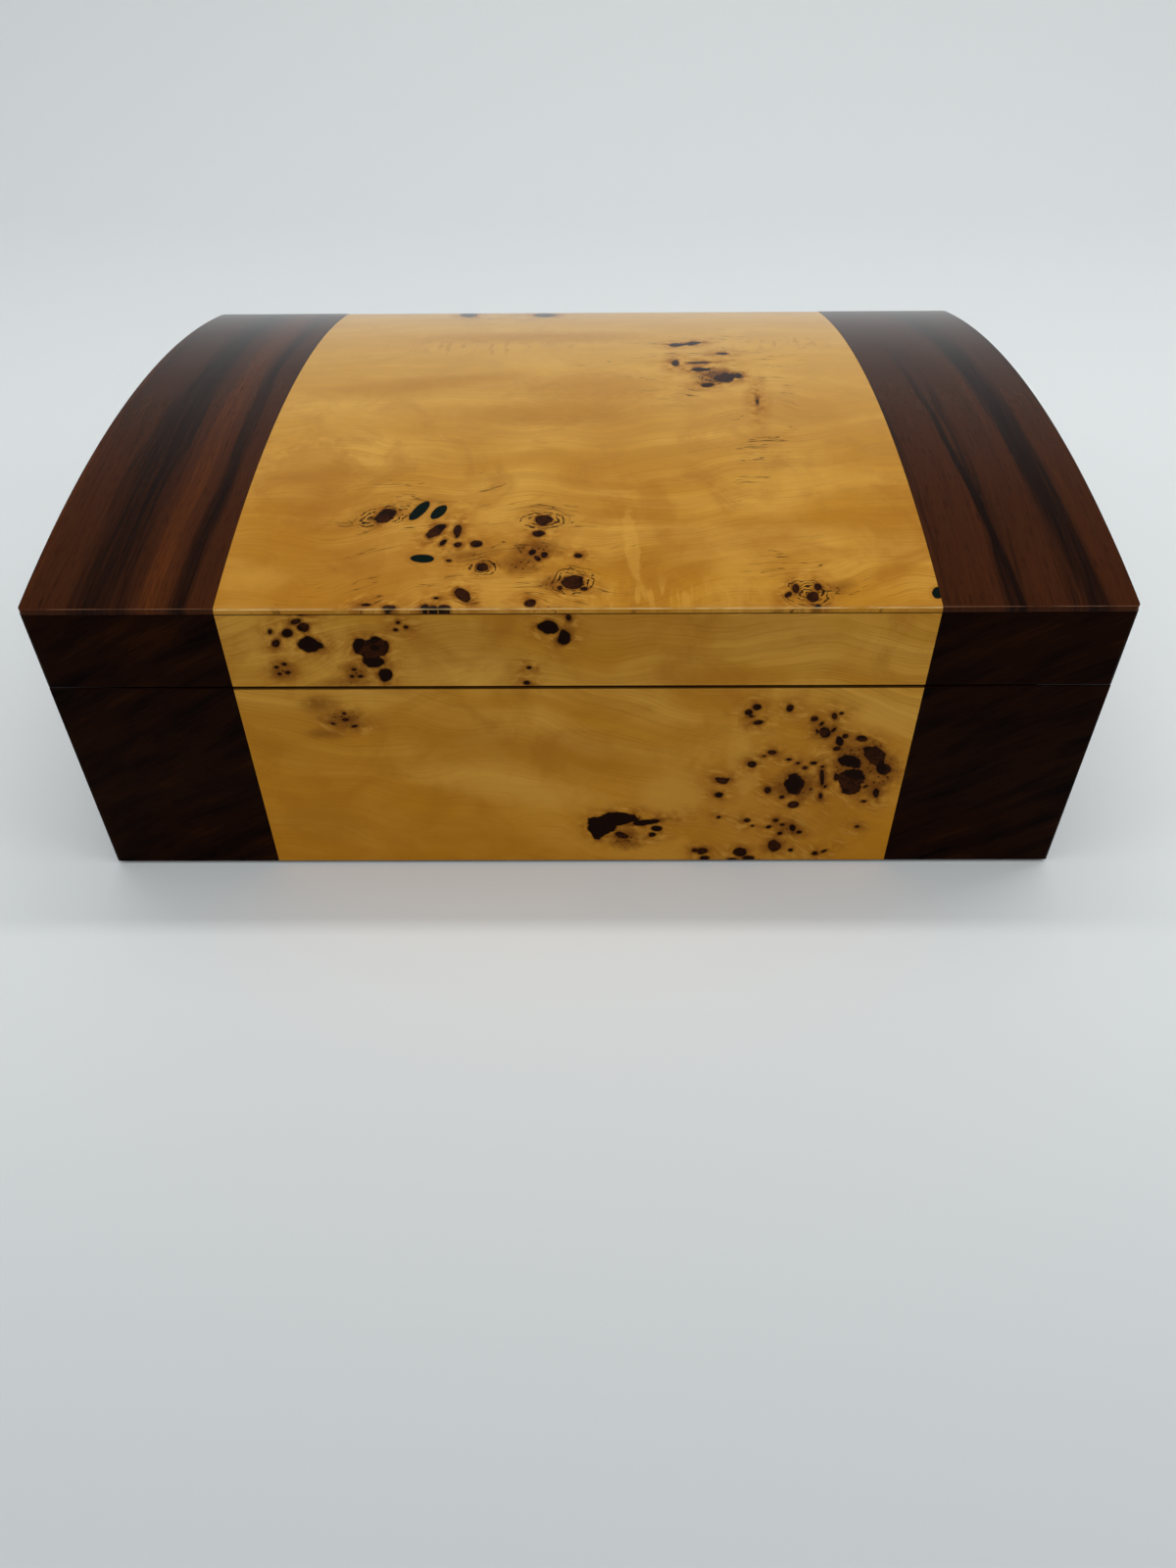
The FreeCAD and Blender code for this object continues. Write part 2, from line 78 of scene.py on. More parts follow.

# Knots and patches in the burl, placed on each face in millimetres: across, up or back,
# long radius, short radius, and turn in degrees. Fills are knots filled black, smears are
# red-brown and dotted, rings are broken lines round a knot, curls have flames across the grain,
# shades are darker, glows are lighter, and char marks the knots that are black all over.
TOP_KNOTS = [
    (-59.5, -80.5, 4, 2.7, 60), (-43, -88, 4, 1.8, 57), (-36.5, -88, 2.9, 1.1, 88),
    (-40.5, -93.5, 1.5, 0.9, 58), (-36, -94.5, 1.3, 1.1, 0), (-30.5, -94, 1.7, 1.4, 0),
    (-38, -101.5, 0.8, 0.6, 0), (-28, -104.5, 1.9, 1.7, 0), (-33, -115.5, 3.3, 1.7, -55),
    (-10.5, -83, 2.6, 2.4, 0), (-12, -89.5, 1.9, 1.5, 0), (-13.5, -98, 1.4, 1.2, 70),
    (-12, -100.5, 1.5, 0.8, -60), (-10, -99, 1.3, 1, 90), (0, -99.5, 1.2, 1, 0),
    (-1.5, -110.5, 3.3, 2.8, 0), (2, -113.5, 1.1, 0.8, 0), (-5, -113, 0.9, 0.7, 90),
    (-13.5, -119, 1.5, 1.4, 0), (-60.5, -119.5, 1.4, 0.6, 0), (-53.5, -120.5, 1.7, 0.8, 0),
    (-43.5, -120.5, 1.1, 0.9, 0), (-41, -121, 1.2, 0.9, 0), (-38, -120.8, 1.7, 1, 0),
    (-40.5, -117, 0.8, 0.5, 0), (60.5, -116, 1.3, 0.8, 50), (67.5, -117, 2, 1.7, 70),
    (69.5, -113, 1.4, 1, 80), (63, -113.5, 1.8, 1.1, 80), (68.5, -120.5, 0.9, 0.6, 10),
    (37.5, 50, 3, 2.2, 10), (43.5, 52, 3.4, 1.8, 30), (35.5, 27, 3, 1.2, 85), (44, 27.5, 3.6, 1.1, 0),
    (44.5, 20, 3.9, 1.9, 0), (52.5, 11.5, 4.8, 3.4, 50), (57.5, 13, 2.2, 1.4, 80),
    (45.5, 4.5, 2.2, 1.6, 20), (54, 38, 2, 1.3, 10), (62, -10, 2, 0.4, 85), (-50, 112, 5.5, 3.5, -80),
    (-16.5, 111, 5.5, 4.5, -70),
]
TOP_FILLS = [
    (-49, -78, 5.3, 2, 63), (-43, -78.8, 3.9, 1.9, 62), (-46, -100.5, 3.5, 1.9, -4),
    (103.5, -115.5, 2.4, 1.7, 70),
]
TOP_SMEARS = [
    (75.5, -113.5, 2.4, 1.2, 27), (-17, -103, 5, 3.6, 0), (-8, -111, 2.5, 1.8, 0), (-31, -99, 4, 1.2, 10),
    (-13, -97, 6, 4, 0), (49, 14, 7, 4.5, 30),
]
TOP_RINGS = [
    (-59.5, -80.5, 6.5, 3.2, 20), (-10.5, -83, 4.4, 2.7, 0), (-1.5, -110.5, 4.6, 3.6, 0),
    (-28, -104.5, 2.3, 2, 0), (66, -115.5, 4.6, 3.8, 0), (50, 12, 6, 4, 40),
]
TOP_CURLS = [(20, -116, 27, 5, 0), (-38, 48, 34, 9, 0), (78, 52, 20, 9, 0)]
# Three of the top's shades, at (-60, 5), (-86, -62) and (-66, -104), are painted shade that darkens the left
# of the top; the rest are brown clouds in the wood.
TOP_SHADES = [
    (31, -97, 11, 13, 0), (25, -78, 5, 15, 12), (8, 5, 24, 12, 0), (-20, 62, 40, 8, 0),
    (62, -88, 26, 6, 12), (-60, 5, 30, 5, 14), (-86, -62, 16, 24, 0), (-66, -104, 20, 5, 6),
    (-20, -20, 34, 8, 6),
]
TOP_GLOWS = [
    (16, -94, 2.2, 15, 4), (-94, -109, 9, 4, 0), (72, -62, 26, 7, 5), (48, -105, 9, 6, 20),
    (60, 30, 34, 6, 8),
]
LID_FRONT_KNOTS = [
    (-79, 101.5, 1.2, 0.6, 0), (-81, 99, 1.6, 0.8, 20), (-79, 97, 1.7, 1.4, 20), (-84, 95, 1.7, 1.4, 20),
    (-89, 95.5, 0.9, 0.6, 70), (-88, 91.5, 1.4, 1, 50), (-78, 91, 3.6, 2.5, -5),
    (-63.5, 90.5, 2.7, 2.1, 70), (-59.5, 89.5, 4.2, 3.7, 40), (-60.5, 85, 3.3, 2, 5),
    (-57.5, 80, 2.5, 2.1, 65), (-51.5, 98.5, 0.7, 0.6, 0), (-52.5, 96, 0.7, 0.5, 0),
    (-49.5, 97, 0.7, 0.6, 0), (-8.5, 96.5, 2.9, 2.3, -15), (-4, 93.2, 2.6, 1.9, 78),
    (-2.5, 100, 1.1, 0.8, 90), (-14.5, 82.5, 0.7, 0.5, 0), (-15.5, 77, 0.9, 0.7, 0),
    (-89.5, 83, 0.7, 0.6, 0), (-87, 84, 0.7, 0.5, 0), (-86.5, 81, 0.8, 0.6, 0), (-89, 80.5, 0.6, 0.5, 0),
    (-66.5, 82, 0.7, 0.5, 0), (-65, 79.5, 0.8, 0.5, 0), (-67.5, 79.5, 0.6, 0.5, 0),
]
LID_FRONT_SMEARS = [(-68, 77.5, 3.6, 0.7, 5), (-88, 82, 3, 2.4, 0), (-66, 81, 3, 2.4, 0)]
LID_FRONT_CHAR = [
    (-78, 91, 3.4, 2.3, -5), (-9, 96.5, 3.2, 2.3, -15), (-4.5, 93.5, 3, 1.9, 78),
    (-60.5, 84.5, 3.4, 1.6, 5), (-64, 91, 2.3, 1.2, 60), (-59.3, 89.8, 1.1, 0.9, 0),
    (-57.5, 80, 2.1, 1.7, 65), (-55.8, 88, 1.6, 0.7, 60),
]
LID_FRONT_SHADES = [(-36, 92, 20, 8, 0), (30, 96, 40, 5, 0)]
LID_FRONT_GLOWS = [(-37, 79, 13, 3, 0), (-90, 88, 6, 8, 0)]
BASE_FRONT_KNOTS = [
    (52, 65.5, 1.2, 1.1, 0), (54.5, 67.5, 1.2, 1.1, 0), (55.5, 61.5, 1.4, 0.8, 15), (64.5, 67, 1.2, 1, 75),
    (72.5, 63, 1.2, 1.1, 0), (76.5, 57.5, 2, 1.6, -55), (78.5, 64, 1.2, 0.8, -75), (80.5, 65, 0.6, 0.5, 0),
    (81.5, 54, 2, 1.2, -70), (83, 56, 1, 0.9, 0), (81, 51, 1.2, 0.9, 0), (88.5, 55, 1.7, 1.2, -13),
    (86, 45.5, 4.2, 2.3, -30), (93.5, 48, 5.1, 2.7, -46), (97, 42.5, 2.6, 2, -60),
    (87.5, 37.5, 5.6, 4.3, -70), (82.5, 39, 1.6, 0.7, -80), (69.5, 36, 4.8, 3.2, -78),
    (70, 27, 1.7, 1.5, 0), (66, 30.5, 0.8, 0.7, 0), (61, 33.5, 1.5, 1, -80), (55, 44.5, 1.4, 1.3, 0),
    (61, 49.5, 1.3, 0.9, 0), (66.5, 46.5, 0.8, 0.5, 0), (72, 43, 0.8, 0.7, 0), (74.5, 45, 1.1, 0.7, 0),
    (78, 39, 3.2, 0.7, -82), (78.5, 31, 1.4, 0.7, -80), (96.5, 32, 2, 1.1, -77), (46, 37.5, 1.7, 1.3, -8),
    (45.5, 31.5, 1.4, 1.2, 0), (46, 21.5, 0.8, 0.7, 0), (55.5, 20, 1.1, 0.9, 0), (65, 20, 0.9, 0.7, 0),
    (71, 16.5, 1.5, 0.9, -74), (67, 14, 0.8, 0.7, 0), (63, 17, 0.8, 0.6, 20), (66, 8, 2.6, 2.2, -60),
    (71.5, 6, 0.8, 0.7, 0), (80, 4.5, 1.1, 1, 0), (41.5, 5.5, 1.7, 1.5, 0), (39, 6, 0.9, 0.8, 0),
    (42.5, 2.3, 1.5, 1.2, 0), (54.5, 5, 2.3, 2, 0), (57.5, 2, 2, 1.4, 0), (52, 1.3, 1.8, 1, 0),
    (6.8, 17.2, 4.4, 5.2, 0), (12.5, 20.9, 6.2, 2.9, 3), (22, 19.2, 4.9, 1.2, 11),
    (25.5, 16.3, 1.8, 1.3, 0), (24.2, 13.5, 1.3, 1.1, 0), (14, 13.2, 2.4, 1.2, -20),
    (92.5, 17, 0.7, 0.5, 0), (-72, 65.5, 0.6, 0.5, 0), (-72, 63, 1, 0.6, 5), (74, 58, 0.9, 0.5, -70),
    (75, 61, 0.8, 0.5, 60), (79, 58.5, 1, 0.6, 60), (53, 64, 0.7, 0.4, 0), (47.5, 38, 0.8, 0.5, 30),
    (44.5, 38.5, 0.7, 0.5, 0), (58.5, 48, 0.5, 0.4, 0), (69.5, 45, 0.6, 0.4, 0), (77.5, 43.5, 0.7, 0.5, 0),
    (79.5, 35, 0.6, 0.4, 70), (93, 28.5, 0.8, 0.5, 0), (92.5, 35, 0.9, 0.5, 40), (57.5, 17.5, 0.5, 0.4, 0),
    (83, 5.5, 1, 0.5, 30), (73.5, 14.5, 0.9, 0.7, 0), (67.5, 18, 0.9, 0.6, 0), (-76, 61.5, 0.8, 0.5, -20),
    (-69.5, 60.5, 1, 0.5, 15),
]
BASE_FRONT_SMEARS = [
    (14.8, 11.8, 5.4, 4.2, -10), (-72, 63, 5, 3, 0), (-79, 69, 3.5, 2, 5), (91, 43, 12, 9, -45),
    (70, 35, 7.5, 5.5, 0), (-79.5, 57.5, 2, 0.8, 0), (70, 16, 4.5, 3, -20), (76.5, 58, 3.5, 3, 0),
    (66.5, 8, 3.4, 2.6, 0), (96, 33, 2.5, 3.5, 0), (78, 39, 1.6, 5, 0),
]
BASE_FRONT_CHAR = [
    (6.8, 17.2, 4.3, 5, 0), (12.5, 20.9, 6, 2.7, 3), (22, 19.2, 4.8, 1.1, 11), (69, 36.5, 3.6, 2.4, -78),
    (85.5, 46, 3.4, 1.8, -30),
]
BASE_FRONT_SHADES = [(60, 28, 38, 22, 0), (-10, 50, 40, 8, -10), (-85, 20, 14, 10, 0), (88, 44, 11, 9, -40)]
BASE_FRONT_GLOWS = [(52, 44, 5, 12, 10), (-20, 34, 30, 6, -12), (92, 62, 12, 6, 0), (30, 30, 10, 10, 0)]
BACK_KNOTS = [
    (-52, 38, 3.2, 2.4, 30), (-47, 44, 1.4, 1.1, 0), (-58, 47, 1.1, 0.9, 0), (-44, 35, 1.2, 0.8, 20),
    (-61, 33, 1.6, 1.2, 0), (12, 62, 2, 1.3, -20), (18, 58, 1, 0.8, 0), (71, 22, 3.8, 2.6, -35),
    (64, 18, 1.5, 1.2, 0), (77, 29, 1.2, 1, 0), (69, 31, 1, 0.8, 0), (30, 14, 1.1, 0.9, 0),
    (-20, 90, 2.4, 1.7, 10), (-14, 86, 1.1, 0.9, 0), (48, 95, 1.5, 1.1, 0), (-84, 84, 1.8, 1.3, 40),
]

# Streaks in the dark veneer on the top: distance in from the end of the box in millimetres at
# the front, half width, drift towards the middle over the depth, and tone from 0 to 1.
LEFT_STREAKS = [(9, 6, 2, 0.42), (22, 8, 3, 0.10), (37, 5, 2, 0.80), (46.5, 2.5, 1, 0.15), (53, 3, 0, 0.5)]
RIGHT_STREAKS = [(4, 4, 3, 0.45), (12, 5, 10, 0.08), (26, 6, 6, 0.45), (34, 1.3, 12, 0), (46, 8, 2, 0.48)]


def colour(name, description, value):
    """A colour that a user can change."""
    return bpy.props.FloatVectorProperty(
        name=name, description=description, subtype="COLOR", size=3, min=0, max=1, default=value
    )


def length(name, description, value):
    """A length in metres that a user can change."""
    return bpy.props.FloatProperty(
        name=name, description=description, unit="LENGTH", min=0, precision=5, default=value
    )


def share(name, description, value):
    """A share from 0 to 1 that a user can change."""
    return bpy.props.FloatProperty(
        name=name, description=description, subtype="FACTOR", min=0, max=1, default=value
    )


def watts(name, description, value):
    """The power of a lamp in watts, which a user can change."""
    return bpy.props.FloatProperty(name=name, description=description, unit="POWER", min=0, default=value)


def section(kind, name, description):
    """A section of the settings."""
    return bpy.props.PointerProperty(type=kind, name=name, description=description)


class EdgeSettings(bpy.types.PropertyGroup):
    """How far the edges of the pieces are rounded."""
    arris: length("Arris", "Radius where the domed top meets the faces", 0.9 * MM)
    corner: length("Corner", "Radius of the upright corners", 1.45 * MM)
    rim: length("Rim", "Radius along the seam and the foot", 0.5 * MM)
    brass: length("Brass", "Radius on the edges of the hinges", 0.12 * MM)
    cloth: length("Cloth", "Radius on the edges of covered boards", 1.1 * MM)
    felt: length("Felt", "Radius on the lower edge of the felt", 0.3 * MM)


class BurlSettings(bpy.types.PropertyGroup):
    """Colours of the burl."""
    pale: colour("Pale", "Lightest wood between the clouds", (0.68, 0.355, 0.058))
    honey: colour("Honey", "Main colour of the wood", (0.52, 0.230, 0.019))
    # The back sheen is a painted reflection: a paler colour over the back of the top, where the backdrop
    # shows at a grazing angle.
    painted_back_sheen: colour("Straw", "Paler wood towards the back of the top", (0.72, 0.43, 0.115))
    ochre: colour("Ochre", "Warmer wood towards the foot of the faces", (0.53, 0.205, 0.006))
    # Amber also paints the shade at the front left of the top.
    amber: colour("Amber", "Deeper clouds and the halo round a knot", (0.37, 0.138, 0.013))
    rust: colour("Rust", "Red-brown specks and smears", (0.165, 0.052, 0.005))
    core: colour("Core", "Heart of a knot", (0.042, 0.0105, 0.002))
    # Rim also colours the painted shade lines along the seams, the foot and the joint under the top.
    rim: colour("Rim", "Black edge of a knot and its cracks", (0.010, 0.0028, 0.0010))
    filler: colour("Filler", "Filled knots, black with a green cast", (0.0015, 0.0065, 0.0045))


class DarkWoodSettings(bpy.types.PropertyGroup):
    """Colours of the dark veneer."""
    black: colour("Black", "Darkest stripes", (0.0078, 0.0020, 0.0006))
    brown: colour("Brown", "Main colour", (0.052, 0.0135, 0.0032))
    orange: colour("Orange", "Warmest stripes", (0.120, 0.030, 0.005))
    # Face shade is painted shade: it darkens the dark wood on the upright faces, and half as much on the
    # ends, beside the same wood on top.
    face_shade: share("Front tone", "How light the leaf on the faces is beside the one on top", 0.22)


class LacquerSettings(bpy.types.PropertyGroup):
    """The clear gloss coat over the veneers."""
    gloss: share("Roughness", "Roughness of the coat", 0.035)
    index: bpy.props.FloatProperty(
        name="Index", description="Refractive index of the coat", min=1, max=2, default=1.15
    )
    ripple: share("Ripple", "Slight waviness of the coat", 0.02)
    # The arris settings paint a highlight: a thin pale line along the top's front and back edges, with its
    # colour on each wood.
    arris: share("Arris", "How strong the thin pale line along the edge of the top is", 0.55)
    burl_arris_highlight: colour("Burl arris", "Colour of that line on the burl", (0.86, 0.62, 0.28))
    dark_arris_highlight: colour("Dark arris", "Colour of that line on the dark wood", (0.24, 0.12, 0.065))
    top_coat: share("Top coat", "Weight of the coat on the top", 1.0)
    burl_coat: share("Burl coat", "Weight of the coat on the upright burl", 0.45)
    dark_coat: share("Dark coat", "Weight of the coat on the upright dark wood", 0.3)


class InsideSettings(bpy.types.PropertyGroup):
    """Linings, felt and bare wood."""
    suede: colour("Suede", "Lining on the boards and the pad", (0.42, 0.30, 0.18))
    felt: colour("Felt", "Felt under the box", (0.012, 0.016, 0.014))
    wood: colour("Wood", "Bare wood of the walls", (0.20, 0.082, 0.033))
    wood_dark: colour("Wood grain", "Grain of the bare wood", (0.095, 0.034, 0.014))
    pad_round: length("Pad edge", "Radius of the floor pad's edge", 5 * MM)
    pad_wave: length("Pad wave", "Unevenness of the floor pad", 0.25 * MM)


class HingeSettings(bpy.types.PropertyGroup):
    """Brass of the hinges and the make of their screws."""
    brass: colour("Brass", "Colour of the polished brass", (0.83, 0.58, 0.24))
    tarnish: colour("Tarnish", "Colour of the duller patches", (0.55, 0.34, 0.13))
    slot_width: length("Slot width", "Width of a screw's slot", 0.6 * MM)
    slot_depth: length("Slot depth", "Depth of a screw's slot", 0.5 * MM)
    screw_gap: length("Screw gap", "Gap between a screw's head and its countersink", 0.1 * MM)


class StageSettings(bpy.types.PropertyGroup):
    """Camera, floor and lights."""
    camera_place: bpy.props.FloatVectorProperty(
        name="Camera place", description="Where the camera stands", subtype="XYZ", unit="LENGTH",
        size=3, default=(0.0052, -0.3944, 0.2786),
    )
    camera_turn: bpy.props.FloatVectorProperty(
        name="Camera turn", description="How the camera is turned", subtype="EULER", unit="ROTATION",
        size=3, default=(math.radians(48.43), math.radians(0.36), math.radians(0.21)),
    )
    lens: bpy.props.FloatProperty(
        name="Lens", description="Focal length in millimetres on a sensor 36 mm long",
        unit="CAMERA", min=1, default=25.9,
    )
    # The shaded floor is painted shade: the floor's colour darkens towards the camera.
    shaded_floor: colour("Near floor", "Colour of the floor towards the camera", (0.60, 0.635, 0.65))
    backdrop: colour("Backdrop", "Colour of the floor under and behind the box", (0.84, 0.87, 0.88))
    sky: colour("Sky", "Colour of the sky's light", (0.95, 0.98, 1.0))
    lamp: colour("Lamp", "Colour of the lamps", (1.0, 0.985, 0.96))
    zenith: share("Zenith", "Brightness of the sky straight above", 0.80)
    horizon: share("Horizon", "Brightness of the sky along the ground", 0.14)
    overhead: watts("Overhead", "Power of the long lamp overhead", 4.6)
    left_power: watts("Left lamp", "Power of the soft lamp on the left", 1.9)
    right_power: watts("Right lamp", "Power of the soft lamp on the right", 2.2)


class BoxSettings(bpy.types.PropertyGroup):
    """All settings of the box."""
    edges: section(EdgeSettings, "Edges", "Rounded edges")
    burl: section(BurlSettings, "Burl", "Burl veneer")
    dark: section(DarkWoodSettings, "Dark wood", "Dark veneer")
    lacquer: section(LacquerSettings, "Lacquer", "Gloss coat")
    inside: section(InsideSettings, "Inside", "Linings, felt and bare wood")
    hinge: section(HingeSettings, "Hinges", "Brass and screws")
    stage: section(StageSettings, "Stage", "Camera, backdrop and light")


def settings():
    """The settings that the pieces are made from."""
    return bpy.context.scene.keepsake_box


class Graph:
    """Adds nodes to a node tree and joins them."""

    def __init__(self, tree):
        self.tree = tree

    def node(self, kind, inputs=(), **values):
        """Adds a node. inputs gives its sockets a value or another node's socket."""
        node = self.tree.nodes.new(kind)
        for name, value in values.items():
            setattr(node, name, value)
        for socket, value in dict(inputs).items():
            self.feed(node.inputs[socket], value)
        return node

    def add(self, kind, inputs=(), output=0, **values):
        """Adds a node and gives one of its outputs."""
        return self.node(kind, inputs, **values).outputs[output]

    def feed(self, socket, value):
        """Gives a socket a value or joins another node's socket to it."""
        if isinstance(value, bpy.types.NodeSocket):
            self.tree.links.new(value, socket)
        elif socket.type == "RGBA":
            socket.default_value = (*value, 1) if len(value) == 3 else value
        else:
            socket.default_value = value

    def math(self, operation, *values, clamp=False):
        return self.add("ShaderNodeMath", enumerate(values), operation=operation, use_clamp=clamp)

    def times(self, first, *others):
        """The product of all the values."""
        for other in others:
            first = self.math("MULTIPLY", first, other)
        return first

    def line(self, value, slope, start):
        """The start, and slope more for each unit of the value."""
        return self.math("MULTIPLY_ADD", value, slope, start)

    def minus(self, first, second):
        return self.math("SUBTRACT", first, second)

    def apart(self, first, second):
        """How far apart two values are."""
        return self.math("ABSOLUTE", self.minus(first, second))

    def combine(self, x=0.0, y=0.0, z=0.0):
        return self.add("ShaderNodeCombineXYZ", {0: x, 1: y, 2: z})

    def split(self, vector):
        return self.node("ShaderNodeSeparateXYZ", {0: vector}).outputs


class Group(Graph):
    """A node group with named sockets, given as names for each kind of socket."""

    def __init__(self, name, kind, inputs, outputs):
        super().__init__(bpy.data.node_groups.new(name, kind))
        for in_out, sockets in (("INPUT", inputs), ("OUTPUT", outputs)):
            for form, labels in sockets.items():
                for label in labels:
                    self.tree.interface.new_socket(label, in_out=in_out, socket_type="NodeSocket" + form)
        self.given = self.node("NodeGroupInput").outputs
        self.result = self.node("NodeGroupOutput").inputs

    def finish(self, geometry, material):
        """Ends a geometry tree with plain geometry in one material."""
        real = self.add("GeometryNodeRealizeInstances", {"Geometry": geometry})
        painted = self.add("GeometryNodeSetMaterial", {"Geometry": real, "Material": material})
        self.feed(self.result[0], painted)
        return self.tree


class Shading(Graph):
    """The nodes of one material. Patterns are measured in millimetres."""

    def __init__(self, name):
        self.material = bpy.data.materials.new(name)
        self.material.use_nodes = True
        super().__init__(self.material.node_tree)
        self.shader = self.tree.nodes["Principled BSDF"]

    def scaled(self, vector, factor):
        return self.add("ShaderNodeVectorMath", {0: vector, "Scale": factor}, operation="SCALE")

    def noise(self, vector, scale=1.0, detail=2.0, roughness=0.5, distortion=0.0):
        inputs = {"Vector": vector, "Scale": scale, "Detail": detail, "Roughness": roughness,
                  "Distortion": distortion}
        return self.add("ShaderNodeTexNoise", inputs, "Fac")

    def smooth(self, value, low, high):
        """0 at low and 1 at high, with a soft start and end."""
        inputs = {"Value": value, "From Min": low, "From Max": high}
        return self.add("ShaderNodeMapRange", inputs, interpolation_type="SMOOTHSTEP")

    def mix(self, factor, first, second):
        """Goes from the first colour to the second."""
        return self.add("ShaderNodeMix", {0: factor, 6: first, 7: second}, 2, data_type="RGBA")

    def place(self):
        """The place on the piece in millimetres."""
        return self.scaled(self.add("ShaderNodeTexCoord", output="Object"), 1 / MM)

    def bump(self, height, strength, distance, into="Normal"):
        """Bends the shader's normal by a height."""
        inputs = {"Height": height, "Strength": strength, "Distance": distance}
        self.feed(self.shader.inputs[into], self.add("ShaderNodeBump", inputs))

    def finish(self, base, roughness, **constants):
        """Sets the shader's colour and roughness and its constants."""
        self.feed(self.shader.inputs["Base Color"], base)
        self.feed(self.shader.inputs["Roughness"], roughness)
        for socket, value in constants.items():
            self.feed(self.shader.inputs[socket.replace("_", " ")], value)
        return self.material

    def lacquer(self, spot, base, weight):
        """Ends a veneer's material with the clear gloss coat."""
        coat = settings().lacquer
        self.bump(self.noise(spot, 0.06, 1.0), coat.ripple, MM, "Coat Normal")
        return self.finish(base, 0.5, Specular_IOR_Level=0.0, Coat_Weight=weight, Coat_Roughness=coat.gloss,
                           Coat_IOR=coat.index)

    def painted_seam_shade(self, base, shade_levels):
        """Painted shade: thin dark lines at those heights, where the leaves end."""
        height = self.split(self.place())[2]
        for level in shade_levels:
            near = self.smooth(self.apart(height, level / MM), 0.55, 0.20)
            base = self.mix(self.times(near, 0.88), base, settings().burl.rim)
        return base

    def painted_arris_highlight(self, base, pale):
        """Painted highlights: thin pale lines along the front and back edges of the top."""
        x, y, _ = self.split(self.place())
        edge = (ARCH.back - ARCH.front) / 2 / MM
        off = self.apart(self.apart(y, ARCH.middle / MM), edge - ARRIS_HIGHLIGHT_INSET)
        # Painted highlight, broken along the edge by noise and scaled by the arris setting.
        highlight_strength = self.smooth(self.noise(self.combine(x), 0.08, 3.0), 0.30, 0.60)
        highlight_strength = self.times(highlight_strength, settings().lacquer.arris)
        return self.mix(self.times(self.smooth(off, 0.20, 0.08), highlight_strength), base, pale)


def knot_group():
    """A node group that measures how far a spot is from one knot's edge, and how far the grain
    steps aside for it. Each of the knot's axes comes as shares of across and up and a start."""
    found = bpy.data.node_groups.get("Knot")
    if found:
        return found
    group = Group("Knot", "ShaderNodeTree", {"Float": (
        "Across", "Up", "Long across", "Long up", "Long start", "Short across", "Short up", "Short start",
        "Short", "Middle", "Edge", "Nearest", "Sway",
    )}, {"Float": ("Nearest", "Sway")})
    given = group.given

    def along(axis):
        up = group.line(given["Up"], given[axis + " up"], given[axis + " start"])
        return group.line(given["Across"], given[axis + " across"], up)

    long_way, short_way = along("Long"), along("Short")
    square = group.line(long_way, long_way, group.times(short_way, short_way))
    gap = group.times(group.minus(group.math("SQRT", square), given["Edge"]), given["Short"])
    group.feed(group.result["Nearest"], group.math("SMOOTH_MIN", given["Nearest"], gap, KNOTS_MERGE))
    aside = group.minus(given["Up"], given["Middle"])
    step = group.math("DIVIDE", aside, group.math("MAXIMUM", square, 1.0))
    group.feed(group.result["Sway"], group.math("ADD", given["Sway"], step))
    return group.tree


